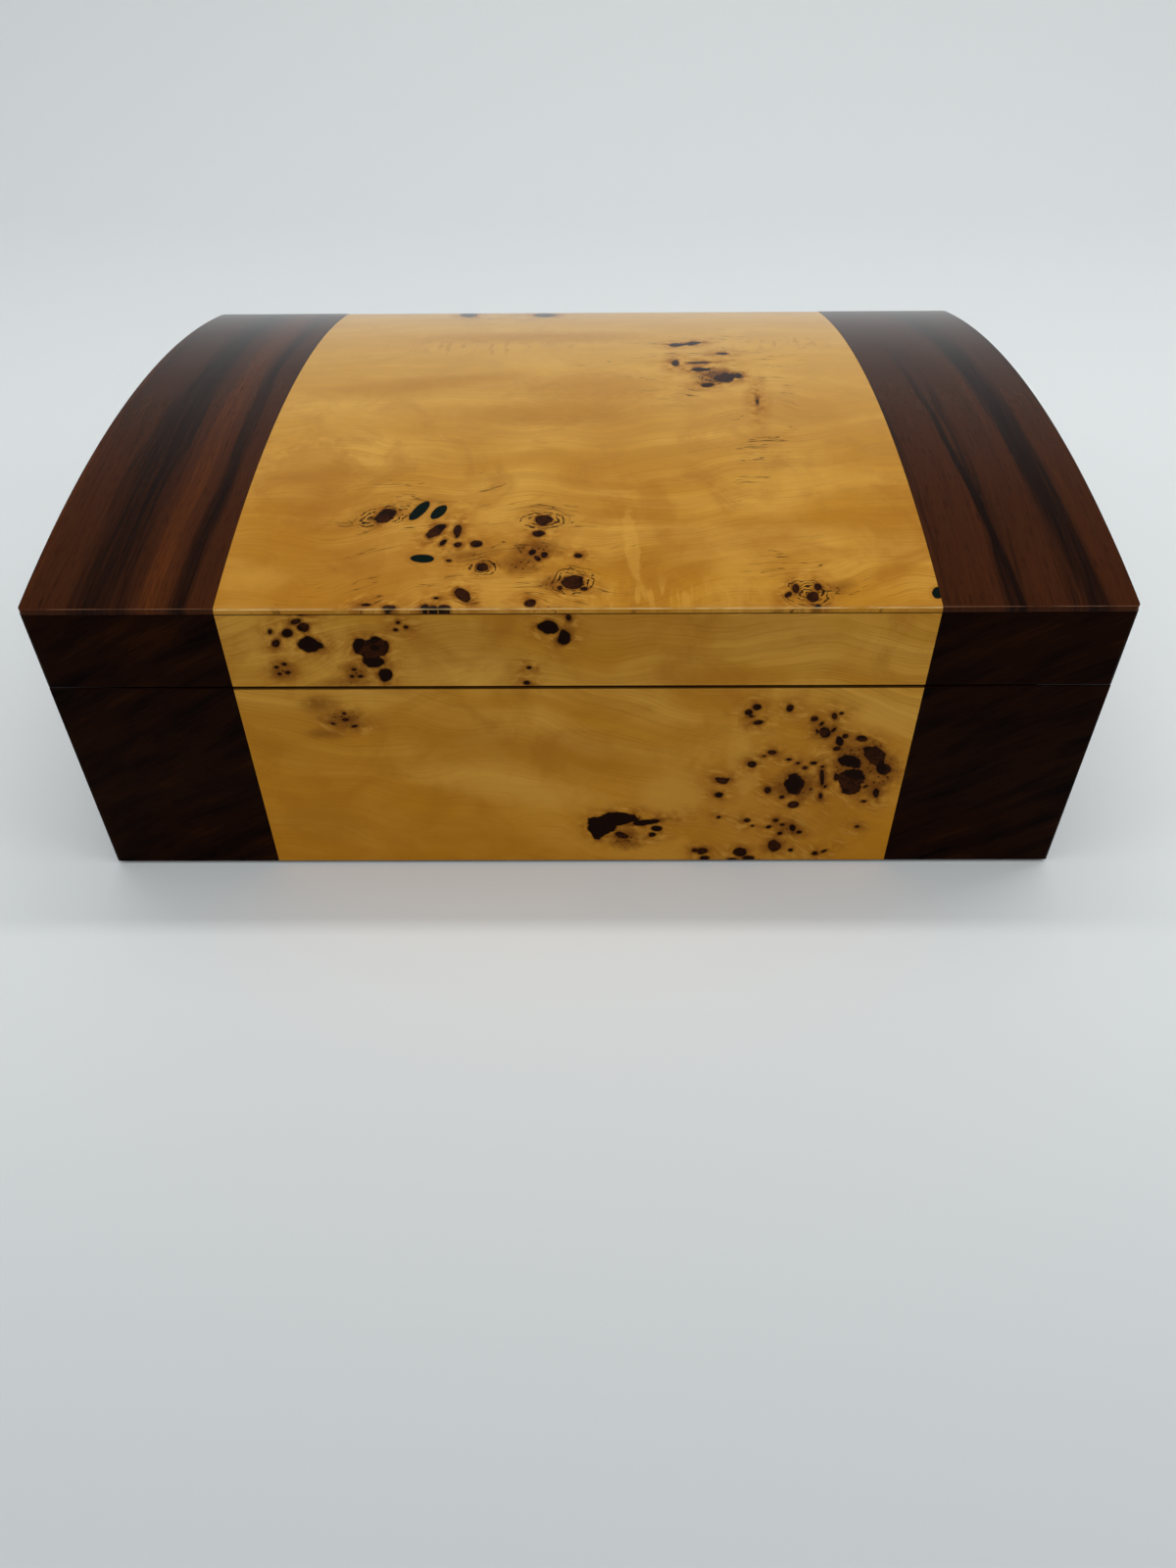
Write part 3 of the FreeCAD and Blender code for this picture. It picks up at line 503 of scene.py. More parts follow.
class BurlShading(Shading):
    """Pale burl with knots. The spot is measured across and up the face, or across and back on the
    top, and tilt is how far the grain falls for each millimetre across."""

    def __init__(self, name, top, knots, tilt):
        super().__init__(name)
        self.top = top
        x, y, z = self.split(self.place())
        self.across, self.up = x, y if top else z
        self.spot = self.combine(self.across, self.up)
        self.ragged = self.math("ADD", self.noise(self.spot, 0.27, 2.0, 0.5), 0.5)
        self.nearest, sway = self.measure(knots, self.ragged)
        self.stain = self.noise(self.spot, 0.22, 3.0, 0.6)

        # The grain runs across the box in broad waves and parts round the knots.
        waves = self.times(self.noise(self.spot, 0.0085, 2.0), 64.0)
        eddies = self.line(self.noise(self.spot, 0.034, 2.0), 7.0, waves)
        eddies = self.line(self.across, tilt, eddies)
        self.height = self.math("ADD", self.minus(self.up, sway), eddies)
        self.base = settings().burl.honey

    def measure(self, knots, edge):
        """How far the spot is from the nearest knot's edge in millimetres, and how far all the knots
        together move the grain. edge is a value near 1 that makes the edges ragged."""
        nearest, sway = FAR_OFF, 0.0
        for across, up, long_radius, short_radius, turn in knots:
            cosine, sine = math.cos(math.radians(turn)), math.sin(math.radians(turn))
            knot = self.node("ShaderNodeGroup", {
                "Across": self.across, "Up": self.up, "Short": short_radius, "Middle": up,
                "Long across": cosine / long_radius, "Long up": sine / long_radius,
                "Long start": -(across * cosine + up * sine) / long_radius,
                "Short across": -sine / short_radius, "Short up": cosine / short_radius,
                "Short start": (across * sine - up * cosine) / short_radius,
                "Edge": edge, "Nearest": nearest, "Sway": sway,
            }, node_tree=knot_group()).outputs
            nearest, sway = knot["Nearest"], knot["Sway"]
        return nearest, sway

    def layer(self, tone, strength, *factors):
        """Lays a tone over the colour so far, as strongly as all the factors allow."""
        self.base = self.mix(self.times(*factors, strength), self.base, getattr(settings().burl, tone))

    def threads(self, along, across, **looks):
        """Noise stretched along the grain. The two scales are per millimetre."""
        spot = self.combine(self.times(self.across, along), self.times(self.height, across))
        return self.noise(spot, **looks)

    def within(self, patches, soft):
        """1 inside the patches and 0 outside, with a soft border that many millimetres wide."""
        return self.smooth(self.measure(patches, self.ragged)[0], soft / 2, -soft / 2)

    def paint_ground(self):
        """Clouds, mottle, growth layers with a fine line each, fibres and fine threads. The top gets a
        painted reflection that pales it towards the back and painted shade at the front left, and a face gets
        warmer towards the foot."""
        clouds = self.math("ADD", self.noise(self.spot, 0.017, 4.0, 0.55, 0.5), self.threads(0.012, 0.05))
        self.base = self.mix(self.smooth(clouds, 0.74, 1.20), settings().burl.pale, settings().burl.honey)
        self.layer("amber", 0.62, self.smooth(self.noise(self.spot, 0.040, 5.0, 0.62, 1.0), 0.42, 0.72))
        growth = self.line(self.threads(0.004, 0.02, detail=1.0), 2.2, self.times(self.height, 0.085))
        fall = self.math("FRACT", growth)
        here = self.smooth(self.noise(self.spot, 0.011, 1.0), 0.38, 0.58)
        self.layer("amber", 0.26, self.smooth(fall, 0.1, 0.9), self.smooth(fall, 1.0, 0.93), here)
        ring = self.math("PINGPONG", self.times(growth, 3.0), 0.5)
        self.layer("amber", 0.36, self.smooth(ring, 0.10, 0.0), here)
        fibres = self.threads(0.016, 0.6, detail=4.0, roughness=0.7)
        self.layer("amber", 0.20, self.smooth(fibres, 0.46, 0.72))
        self.layer("amber", 0.40, self.smooth(self.threads(0.035, 2.6), 0.48, 0.70))
        if self.top:
            # Painted reflection: paler towards the back of the top.
            self.layer("painted_back_sheen", 0.64, self.smooth(self.up, -100.0, 75.0))
            # Painted shade: darker amber towards the front left of the top.
            leftwards, forwards = self.smooth(self.across, 70.0, -80.0), self.smooth(self.up, -50.0, -105.0)
            self.layer("amber", 0.36, leftwards, forwards)
        else:
            self.layer("ochre", 0.50, self.smooth(self.up, 95.0, 0.0))

    def paint_patches(self, curls, shades, glows):
        """Darker patches, lighter ones, and pale flames across the grain in the curls."""
        if shades:
            self.layer("amber", 0.38, self.within(shades, 12.0))
        if glows:
            self.layer("pale", 0.42, self.within(glows, 7.0))
        if curls:
            flames = self.threads(0.36, 0.09)
            here = self.within(curls, 12.0)
            self.layer("pale", 0.42, here, self.smooth(flames, 0.50, 0.62))
            self.layer("amber", 0.30, here, self.smooth(flames, 0.46, 0.36))

    def paint_halo(self, smears):
        """Amber, pale wisps and smoke round the knots, and rust smears with dark dots."""
        near, stain = self.nearest, self.stain
        self.layer("amber", 0.95, self.smooth(near, 6.5, 0.0), self.smooth(stain, 0.26, 0.64))
        wisps = self.smooth(self.threads(0.16, 0.55, detail=3.0, distortion=1.0), 0.50, 0.66)
        self.layer("pale", 0.45, self.smooth(near, 5.0, 2.2), self.smooth(near, 0.5, 1.4), wisps)
        self.layer("rust", 0.60, self.smooth(near, 2.4, 0.0), self.smooth(stain, 0.42, 0.66))
        if smears:
            here = self.within(smears, 6.0)
            self.layer("amber", 0.74, here)
            self.layer("rust", 0.14, here)
            self.layer("rust", 0.80, here, self.smooth(stain, 0.24, 0.56))
            dots = self.add("ShaderNodeTexVoronoi", {"Vector": self.spot, "Scale": 0.72, "Randomness": 0.95})
            dots = self.times(self.smooth(dots, 0.40, 0.24), self.smooth(stain, 0.62, 0.50))
            self.layer("core", 0.90, here, here, dots)

    def paint_cracks(self, rings):
        """Hairline cracks along the grain near the knots, and broken rings round some of them."""
        line = self.smooth(self.apart(self.threads(0.035, 0.42), 0.5), 0.016, 0.004)
        broken = self.smooth(self.threads(0.045, 0.14), 0.52, 0.58)
        self.layer("rim", 0.70, line, broken, self.smooth(self.nearest, 20.0, 5.0))
        away, _ = self.measure(rings, self.ragged)
        wander = self.line(self.stain, 2.4, away)
        ring = self.smooth(self.math("PINGPONG", wander, 0.6), 0.30, 0.10)
        parts = self.smooth(self.noise(self.spot, 0.30, 1.0), 0.40, 0.50)
        self.layer("rim", 0.95, ring, self.smooth(away, 3.0, 0.8), parts)

    def paint_knots(self, char, fills):
        """Knots with a black rim and a brown heart, black ones where charred, and filled ones."""
        tones = settings().burl
        self.layer("rust", 0.65, self.smooth(self.nearest, 0.75, 0.15))
        streaks = self.noise(self.combine(self.times(self.across, 0.9), self.up), 0.5, 3.0, 0.65, 0.8)
        which = self.smooth(self.noise(self.spot, 0.16, 1.0), 0.36, 0.52)
        if char:
            which = self.times(which, self.smooth(self.measure(char, self.ragged)[0], -0.1, 0.5))
        brown = self.times(which, self.smooth(streaks, 0.30, 0.62), self.smooth(self.nearest, -0.08, -0.42))
        knot = self.mix(brown, tones.rim, tones.core)
        self.base = self.mix(self.smooth(self.nearest, 0.18, -0.12), self.base, knot)
        if fills:
            filled, _ = self.measure(fills, self.line(self.ragged, 0.35, 0.65))
            self.layer("amber", 0.5, self.smooth(filled, 1.6, 0.0))
            self.layer("filler", 1.0, self.smooth(filled, 0.12, -0.12))


def burl_face(name, knots, smears=(), shades=(), glows=(), char=(), shade_levels=(), tilt=0.0):
    """Burl on an upright face, with painted shade lines at the given heights."""
    shading = BurlShading(name, False, knots, tilt)
    shading.paint_ground()
    shading.paint_patches((), shades, glows)
    shading.paint_halo(smears)
    shading.paint_knots(char, ())
    base = shading.painted_seam_shade(shading.base, shade_levels)
    return shading.lacquer(shading.spot, base, settings().lacquer.burl_coat)


def burl_top():
    """Burl on the domed top, with cracks, rings, filled knots and a painted highlight along the edges."""
    look = settings().lacquer
    shading = BurlShading("burl_top", True, TOP_KNOTS, TOP_TILT)
    shading.paint_ground()
    shading.paint_patches(TOP_CURLS, TOP_SHADES, TOP_GLOWS)
    shading.paint_halo(TOP_SMEARS)
    shading.paint_cracks(TOP_RINGS)
    shading.paint_knots((), TOP_FILLS)
    return shading.lacquer(shading.spot, shading.painted_arris_highlight(shading.base, look.burl_arris_highlight), look.top_coat)


class DarkShading(Shading):
    """Dark striped wood whose grain runs along one axis. lean tilts the stripes."""

    def __init__(self, name, along, across, lean=0.0):
        super().__init__(name)
        axes = dict(zip("XYZ", self.split(self.place())))
        self.run, self.side = axes[along], axes[across]
        self.drift = self.noise(self.combine(self.times(self.run, 0.010), self.times(self.side, 0.018)))
        self.across = self.line(self.drift, 9.0, self.line(self.run, -lean, self.side))
        stripes = self.stretched(0.13, 0.035 if lean else 0.0035, detail=3.0, roughness=0.55)
        self.level = self.smooth(stripes, 0.10, 0.95)

    def stretched(self, across, along, **looks):
        """Noise stretched along the grain. The two scales are per millimetre."""
        return self.noise(self.combine(self.times(self.across, across), self.times(self.run, along)), **looks)

    def paint_streaks(self, streaks, end):
        """Broad streaks on the top. end is -1 for the left end of the box and 1 for the right."""
        low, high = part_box("lid_top_left_band")
        depth = (high.y - low.y) / MM
        inwards = self.line(self.side, -end, self.line(self.drift, 6.0, abs(low.x) / MM - 3.0))
        back = self.line(self.run, 1 / depth, -low.y / MM / depth)
        for spot, half_width, drift, tone in streaks:
            off = self.apart(inwards, self.line(back, drift, spot))
            near = self.times(self.smooth(off, half_width * 1.25, half_width * 0.35), 0.85)
            self.level = self.add("ShaderNodeMix", {0: near, 2: self.level, 3: tone})

    def wood(self):
        """The colour of the stripes, the grain and the pores."""
        tones = settings().dark
        grain = self.stretched(0.95, 0.022, detail=4.0, roughness=0.65)
        level = self.math("ADD", self.level, self.line(grain, 0.70, -0.37), clamp=True)
        base = self.mix(self.smooth(level, 0.0, 0.55), tones.black, tones.brown)
        base = self.mix(self.smooth(level, 0.50, 1.0), base, tones.orange)
        pores = self.smooth(self.stretched(3.0, 0.14), 0.56, 0.68)
        return self.mix(self.times(pores, 0.55), base, tones.black)

    def gloss(self, base, weight):
        """Ends the material with the clear coat."""
        return self.lacquer(self.combine(self.run, self.side), base, weight)


def dark_top(name, streaks, end):
    """Dark wood on the domed top, with a painted highlight along the front and back edges."""
    look = settings().lacquer
    shading = DarkShading(name, "Y", "X")
    shading.paint_streaks(streaks, end)
    return shading.gloss(shading.painted_arris_highlight(shading.wood(), look.dark_arris_highlight), look.top_coat)


def dark_face(name, along, tone, shade_levels=(), lean=0.0):
    """Dark wood on an upright face, darkened by a tone from 0 to 1 as painted shade, with painted shade lines
    at the given heights.
    """
    shading = DarkShading(name, along, "Z", lean)
    base = shading.painted_seam_shade(shading.scaled(shading.wood(), tone), shade_levels)
    return shading.gloss(base, settings().lacquer.dark_coat)


def bare_wood(name, along):
    """Satin wood of the carcass, with its grain along one axis."""
    tones = settings().inside
    shading = Shading(name)
    axes = dict(zip("XYZ", shading.split(shading.place())))
    run = axes.pop(along)
    first, second = axes.values()
    rings = shading.noise(shading.combine(shading.times(run, 0.02), first, second), 0.55, 3.0, 0.6, 0.6)
    pores = shading.noise(shading.combine(shading.times(run, 0.25), shading.times(first, 4.0),
                                          shading.times(second, 4.0)))
    base = shading.mix(shading.smooth(rings, 0.35, 0.65), tones.wood, tones.wood_dark)
    base = shading.mix(shading.times(shading.smooth(pores, 0.58, 0.70), 0.6), base, tones.wood_dark)
    shading.bump(pores, 0.15, 0.2 * MM)
    return shading.finish(base, shading.line(rings, 0.15, 0.38))


def suede():
    """Lining with a short brushed nap."""
    tone = settings().inside.suede
    shading = Shading("lining_suede")
    spot = shading.place()
    brushed = shading.noise(spot, 0.045, 3.0, 0.6, 0.7)
    nap = shading.noise(spot, 3.2, 2.0, 0.7)
    light = [min(1, 1.22 * part) for part in tone]
    dark = [0.72 * part for part in tone]
    base = shading.mix(shading.smooth(brushed, 0.35, 0.65), tone, light)
    base = shading.mix(shading.times(shading.smooth(nap, 0.45, 0.70), 0.55), base, dark)
    shading.bump(nap, 0.35, 0.2 * MM)
    return shading.finish(base, 0.92, Specular_IOR_Level=0.2, Sheen_Weight=0.35, Sheen_Roughness=0.45)


def felt():
    """Felt of short matted fibres."""
    tone = settings().inside.felt
    shading = Shading("underside_felt")
    fibres = shading.noise(shading.place(), 1.9, 4.0, 0.8, 2.5)
    base = shading.mix(shading.smooth(fibres, 0.40, 0.65), tone, [2.2 * part for part in tone])
    shading.bump(fibres, 0.5, 0.3 * MM)
    return shading.finish(base, 0.95, Specular_IOR_Level=0.1, Sheen_Weight=0.3, Sheen_Roughness=0.5)


def polished_brass(name, lines):
    """Polished brass with duller patches and fine polishing lines. lines says how close the lines
    lie along each axis."""
    tones = settings().hinge
    shading = Shading(name)
    spot = shading.place()
    patches = shading.noise(spot, 0.25, 3.0, 0.6)
    stretched = shading.add("ShaderNodeVectorMath", {0: spot, 1: lines}, operation="MULTIPLY")
    scuffs = shading.noise(stretched, 1.0, 3.0, 0.6)
    base = shading.mix(shading.smooth(patches, 0.45, 0.80), tones.brass, tones.tarnish)
    shading.bump(scuffs, 0.06, 0.1 * MM)
    dull = shading.line(shading.smooth(patches, 0.40, 0.75), 0.16, 0.14)
    return shading.finish(base, shading.line(scuffs, 0.10, dull), Metallic=1.0)


def new_piece(name, mesh):
    """A shown object that holds the mesh."""
    piece = bpy.data.objects.new(name, mesh)
    bpy.context.scene.collection.objects.link(piece)
    return piece


def form_mesh(name, form):
    """A mesh from a finished bmesh."""
    mesh = bpy.data.meshes.new(name)
    form.to_mesh(mesh)
    form.free()
    return mesh


def mesh_piece(name, form):
    """A piece from a finished bmesh, with its faces turned outwards."""
    bmesh.ops.recalc_face_normals(form, faces=form.faces)
    return new_piece(name, form_mesh(name, form))


def finished_mesh(piece):
    """The plain mesh that a piece's modifiers give."""
    return bpy.data.meshes.new_from_object(piece.evaluated_get(bpy.context.evaluated_depsgraph_get()))


def shade(mesh, sharp):
    """Shades a mesh smooth, apart from edges that turn by more than that many degrees."""
    mesh.shade_smooth()
    mesh.set_sharp_from_angle(angle=math.radians(sharp))


def prism(name, outline, axis, start, end):
    """A solid with that outline, pulled along the x or z axis. The outline gives the other two."""
    def ring(level):
        places = [(level, *corner) if axis == "x" else (*corner, level) for corner in outline]
        return [form.verts.new(place) for place in places]

    form = bmesh.new()
    near, far = ring(start), ring(end)
    form.faces.new(near)
    form.faces.new(far)
    for number in range(len(outline)):
        form.faces.new((near[number - 1], near[number], far[number], far[number - 1]))
    return mesh_piece(name, form)


def on(**planes):
    """A test for points that lie on the given planes, such as x=0.16."""
    return lambda point: all(abs(getattr(point, axis) - level) < TOUCHING for axis, level in planes.items())


def soften(piece, *rounded, segments=4):
    """Rounds the edges that each pair of test and radius picks, and keeps the other edges sharp."""
    mesh = piece.data
    largest = max(radius for _, radius in rounded)
    weights = mesh.attributes.new("bevel_weight_edge", "FLOAT", "EDGE")
    shade(mesh, sharp=35)
    for edge in mesh.edges:
        ends = [mesh.vertices[vertex].co for vertex in edge.vertices]
        for test, radius in rounded:
            if all(test(end) for end in ends):
                weights.data[edge.index].value = radius / largest
                edge.use_edge_sharp = False
    bevel = piece.modifiers.new("Rounded edges", "BEVEL")
    bevel.limit_method = "WEIGHT"
    bevel.width = largest
    bevel.segments = segments
    bevel.use_clamp_overlap = False
    piece.modifiers.new("Flat faces", "WEIGHTED_NORMAL").keep_sharp = True


def dress(piece, body, slot, material, *nodes):
    """Gives a piece its material and its body, and hides the CAD nodes that it stands for."""
    piece.data.materials.clear()
    piece.data.materials.append(material)
    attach(piece, body)
    if nodes:
        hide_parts(*nodes)


def paint_nodes(material, *nodes):
    """Gives CAD nodes that stay shown their material."""
    for node in nodes:
        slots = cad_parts[node].data.materials
        slots.clear()
        slots.append(material)


class Arch:
    """The lid's arch, worked out from the boxes of its pieces."""

    def __init__(self):
        low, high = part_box("lid_top_burl")
        skin_low, skin_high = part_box("lid_left_end")
        skin = skin_high.x - skin_low.x
        half, height = (high.y - low.y) / 2, high.z - low.z
        self.middle = (low.y + high.y) / 2
        self.outer = (half ** 2 + height ** 2 - skin ** 2) / (2 * (height - skin))
        self.centre = high.z - self.outer
        self.inner = self.outer - skin
        self.front, self.back = low.y, high.y

    def height(self, depth, radius):
        """The height of the arch of that radius at a place along the depth."""
        return self.centre + math.sqrt(radius ** 2 - (depth - self.middle) ** 2)

    def points(self, front, back, radius):
        """Points along the arch from front to back."""
        depths = [front + (back - front) * step / ARCH_STEPS for step in range(ARCH_STEPS + 1)]
        return [(depth, self.height(depth, radius)) for depth in depths]

    def under(self, node):
        """The radius of the underside of a curved sheet."""
        low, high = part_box(node)
        return math.hypot(low.z - self.centre, (high.y - low.y) / 2)


ARCH = Arch()


def arched_sheet_tree(material):
    """Geometry nodes for a sheet that follows an arch from front to back, as a closed solid."""
    group = Group("Arched sheet", "GeometryNodeTree", {
        "Float": ("Left", "Right", "Front", "Back", "Middle", "Centre", "Outer radius", "Inner radius"),
        "Int": ("Rows", "Columns"),
    }, {"Geometry": ("Sheet",)})
    given = group.given

    def half_way(first, second):
        return group.times(group.math("ADD", given[first], given[second]), 0.5)

    def lifted(geometry, radius, selection=True):
        """Moves the chosen points up or down to the arch of that radius."""
        x, y, _ = group.split(group.add("GeometryNodeInputPosition"))
        off = group.minus(y, given["Middle"])
        under = group.minus(group.times(radius, radius), group.times(off, off))
        level = group.math("ADD", given["Centre"], group.math("SQRT", under))
        return group.add("GeometryNodeSetPosition", {"Geometry": geometry, "Selection": selection,
                                                     "Position": group.combine(x, y, level)})

    flat = group.add("GeometryNodeMeshGrid", {
        "Size X": group.minus(given["Right"], given["Left"]), "Vertices X": given["Columns"],
        "Size Y": group.minus(given["Back"], given["Front"]), "Vertices Y": given["Rows"],
    })
    middle = group.combine(half_way("Left", "Right"), half_way("Front", "Back"))
    placed = group.add("GeometryNodeSetPosition", {"Geometry": flat, "Offset": middle})
    under_side = lifted(placed, given["Inner radius"])
    raised = group.node("GeometryNodeExtrudeMesh",
                        {"Mesh": under_side, "Individual": False, "Offset Scale": 0.0})
    upper = lifted(raised.outputs["Mesh"], given["Outer radius"], raised.outputs["Top"])
    joined = group.node("GeometryNodeJoinGeometry", {0: upper})
    group.feed(joined.inputs[0], group.add("GeometryNodeFlipFaces", {"Mesh": under_side}))
    closed = group.add("GeometryNodeMergeByDistance",
                       {"Geometry": joined.outputs[0], "Distance": TOUCHING / 10})
    return group.finish(closed, material)


def grown(name, seed_mesh, tree, **inputs):
    """Runs a geometry nodes tree on a mesh with the named inputs, and gives the plain result."""
    source = new_piece(name + "_source", seed_mesh)
    modifier = source.modifiers.new("Nodes", "NODES")
    modifier.node_group = tree
    sockets = {item.name: item.identifier for item in tree.interface.items_tree if item.in_out == "INPUT"}
    for label, value in inputs.items():
        modifier[sockets[label.replace("_", " ")]] = value
    mesh = finished_mesh(source)
    mesh.name = name
    source.modifiers.clear()
    bpy.data.objects.remove(source)
    return new_piece(name, mesh)


def arched_sheet(name, node, material):
    """A piece along the arch that fills a CAD node's place."""
    low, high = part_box(node)
    return grown(
        name, bpy.data.meshes.new(name), arched_sheet_tree(material), Left=low.x, Right=high.x, Front=low.y,
        Back=high.y, Middle=ARCH.middle, Centre=ARCH.centre, Outer_radius=high.z - ARCH.centre,
        Inner_radius=ARCH.under(node), Rows=ARCH_STEPS + 1, Columns=SHEET_COLUMNS,
    )


def screw_tree(material):
    """Geometry nodes that set a slotted countersunk screw at each point."""
    group = Group("Countersunk screws", "GeometryNodeTree", {
        "Geometry": ("Points",),
        "Float": ("Head radius", "Head depth", "Shank radius", "Length", "Slot width", "Slot depth",
                  "Tip over"),
        "Int": ("Seed",),
    }, {"Geometry": ("Screws",)})
    given = group.given

    def lowered(geometry, depth):
        return group.add("GeometryNodeTransform", {
            "Geometry": geometry, "Translation": group.combine(z=group.times(depth, -1.0)),
        })

    head = lowered(group.add("GeometryNodeMeshCone", {
        "Vertices": 40, "Radius Top": given["Head radius"], "Radius Bottom": given["Shank radius"],
        "Depth": given["Head depth"],
    }), given["Head depth"])
    rest = group.minus(given["Length"], given["Head depth"])
    shank = lowered(group.add("GeometryNodeMeshCylinder", {
        "Vertices": 24, "Radius": group.times(given["Shank radius"], SHANK_SHARE), "Depth": rest,
    }), group.math("ADD", given["Head depth"], group.times(rest, 0.5)))
    block = group.combine(group.times(given["Head radius"], SLOT_REACH), given["Slot width"],
                          group.times(given["Slot depth"], 2.0))
    slot = group.add("GeometryNodeMeshCube", {"Size": block})
    cut = group.node("GeometryNodeMeshBoolean", {0: head, 1: slot}, operation="DIFFERENCE")
    screw = group.node("GeometryNodeJoinGeometry", {0: cut.outputs[0]})
    group.feed(screw.inputs[0], shank)
    turn = group.add("FunctionNodeRandomValue", {2: 0.0, 3: math.pi, "Seed": given["Seed"]}, 1)
    placed = group.add("GeometryNodeInstanceOnPoints", {
        "Points": given["Points"], "Instance": screw.outputs[0],
        "Rotation": group.combine(given["Tip over"], 0.0, turn),
    })
    return group.finish(placed, material)


def merged_copy(node):
    """A copy of a CAD node's mesh with its loose triangles joined up."""
    form = bmesh.new()
    form.from_mesh(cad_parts[node].data)
    bmesh.ops.remove_doubles(form, verts=form.verts, dist=TOUCHING / 10)
    return form


def solid_boxes(node):
    """The lowest and highest corner of each separate solid in a CAD node."""
    form = merged_copy(node)
    unseen, boxes = set(form.verts), []
    while unseen:
        island, border = set(), [unseen.pop()]
        while border:
            vertex = border.pop()
            island.add(vertex)
            for link in vertex.link_edges:
                other = link.other_vert(vertex)
                if other in unseen:
                    unseen.remove(other)
                    border.append(other)
        corners = [[getattr(vertex.co, axis) for vertex in island] for axis in "xyz"]
        boxes.append((Vector(map(min, corners)), Vector(map(max, corners))))
    form.free()
    return boxes


def brass_copy(node):
    """A CAD node's shape with its facets smoothed and its edges broken."""
    form = merged_copy(node)
    bmesh.ops.dissolve_limit(form, angle_limit=math.radians(0.5), verts=form.verts, edges=form.edges)
    piece = new_piece(node + "_brass", form_mesh(node + "_brass", form))
    shade(piece.data, sharp=30)
    bevel = piece.modifiers.new("Broken edges", "BEVEL")
    bevel.limit_method = "ANGLE"
    bevel.angle_limit = math.radians(40)
    bevel.width = settings().edges.brass
    bevel.segments = 2
    bevel.harden_normals = True
    return piece


def shade_line_levels(part):
    """The heights of the painted shade lines along the seam, the foot and the joint under the top."""
    low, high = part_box(part + "_front_burl")
    return [low.z, high.z if part == "base" else ARCH.height(ARCH.front, ARCH.inner)]


def face_veneer(name, node, end=0):
    """A veneer on the front or back, softened along the rim, the foot and an end of the box."""
    edges = settings().edges
    low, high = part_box(node)
    outer, inner = (low.y, high.y) if low.y < ARCH.middle else (high.y, low.y)
    tops = [(depth, high.z) for depth in (inner, outer)]
    rounded = [(on(y=outer, z=low.z), edges.rim)]
    if node.startswith("lid"):
        tops = [(depth, ARCH.height(depth, ARCH.inner)) for depth in (inner, outer)]
    else:
        rounded.append((on(y=outer, z=high.z), edges.rim))
    if end:
        rounded.append((on(x=end, y=outer), edges.corner))
    piece = prism(name, [(outer, low.z), (inner, low.z), *tops], "x", low.x, high.x)
    soften(piece, *rounded)
    return piece


def cut_for_hinge(piece, side):
    """Cuts the trough for a hinge's barrel out of a back veneer."""
    pin_low, pin_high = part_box(f"{side}_hinge_pin")
    _, leaf_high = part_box(f"{side}_hinge_base_leaf")
    middle = (pin_low + pin_high) / 2
    radius = leaf_high.y - middle.y + BARREL_GAP
    form = bmesh.new()
    bmesh.ops.create_cone(form, cap_ends=True, segments=64, radius1=radius, radius2=radius,
                          depth=pin_high.x - pin_low.x + 2 * BARREL_GAP)
    trough = mesh_piece(piece.name + "_trough", form)
    for vertex in trough.data.vertices:
        across, up, along = vertex.co
        vertex.co = middle + Vector((along, across, up))
    trough.hide_render = True
    cut = piece.modifiers.new("Hinge trough", "BOOLEAN")
    cut.object = trough
    cut.solver = "EXACT"
    piece.modifiers.move(len(piece.modifiers) - 1, 0)
    mesh = finished_mesh(piece)
    piece.modifiers.clear()
    piece.data = mesh
    bpy.data.objects.remove(trough)


class KeepsakeOperator(bpy.types.Operator):
    """Shared settings of the operators that make the box"""
    bl_options = {"REGISTER", "UNDO"}


class KEEPSAKE_OT_carcass(KeepsakeOperator):
    """Finish the walls, rails and boards of the carcass in bare wood"""
    bl_idname = "keepsake.carcass"
    bl_label = "Carcass"

    def execute(self, context):
        for axis, name, walls in (("X", "across", ("front", "back")), ("Y", "deep", SIDES)):
            wood = bare_wood("bare_wood_" + name, axis)
            for wall in walls:
                paint_nodes(wood, f"base_{wall}_panel", f"lid_{wall}_rail")
            if name == "across":
                paint_nodes(wood, "base_floor_board", "lid_crown_board")
        return {"FINISHED"}


class KEEPSAKE_OT_burl_faces(KeepsakeOperator):
    """Lay the burl veneers on the front and back of the base and lid"""
    bl_idname = "keepsake.burl_faces"
    bl_label = "Burl faces"

    def execute(self, context):
        base, lid = shade_line_levels("base"), shade_line_levels("lid")
        back = burl_face("burl_back", BACK_KNOTS, shade_levels=base + lid)
        woods = {
            "base_front": burl_face("burl_base_front", BASE_FRONT_KNOTS, BASE_FRONT_SMEARS, BASE_FRONT_SHADES,
                                    BASE_FRONT_GLOWS, BASE_FRONT_CHAR, base, FRONT_TILT),
            "lid_front": burl_face("burl_lid_front", LID_FRONT_KNOTS, LID_FRONT_SMEARS, LID_FRONT_SHADES,
                                   LID_FRONT_GLOWS, LID_FRONT_CHAR, lid),
            "base_back": back,
            "lid_back": back,
        }
        for face, wood in woods.items():
            node = face + "_burl"
            dress(face_veneer(node + "_veneer", node), face.split("_")[0], "burl_veneer", wood, node)
        return {"FINISHED"}


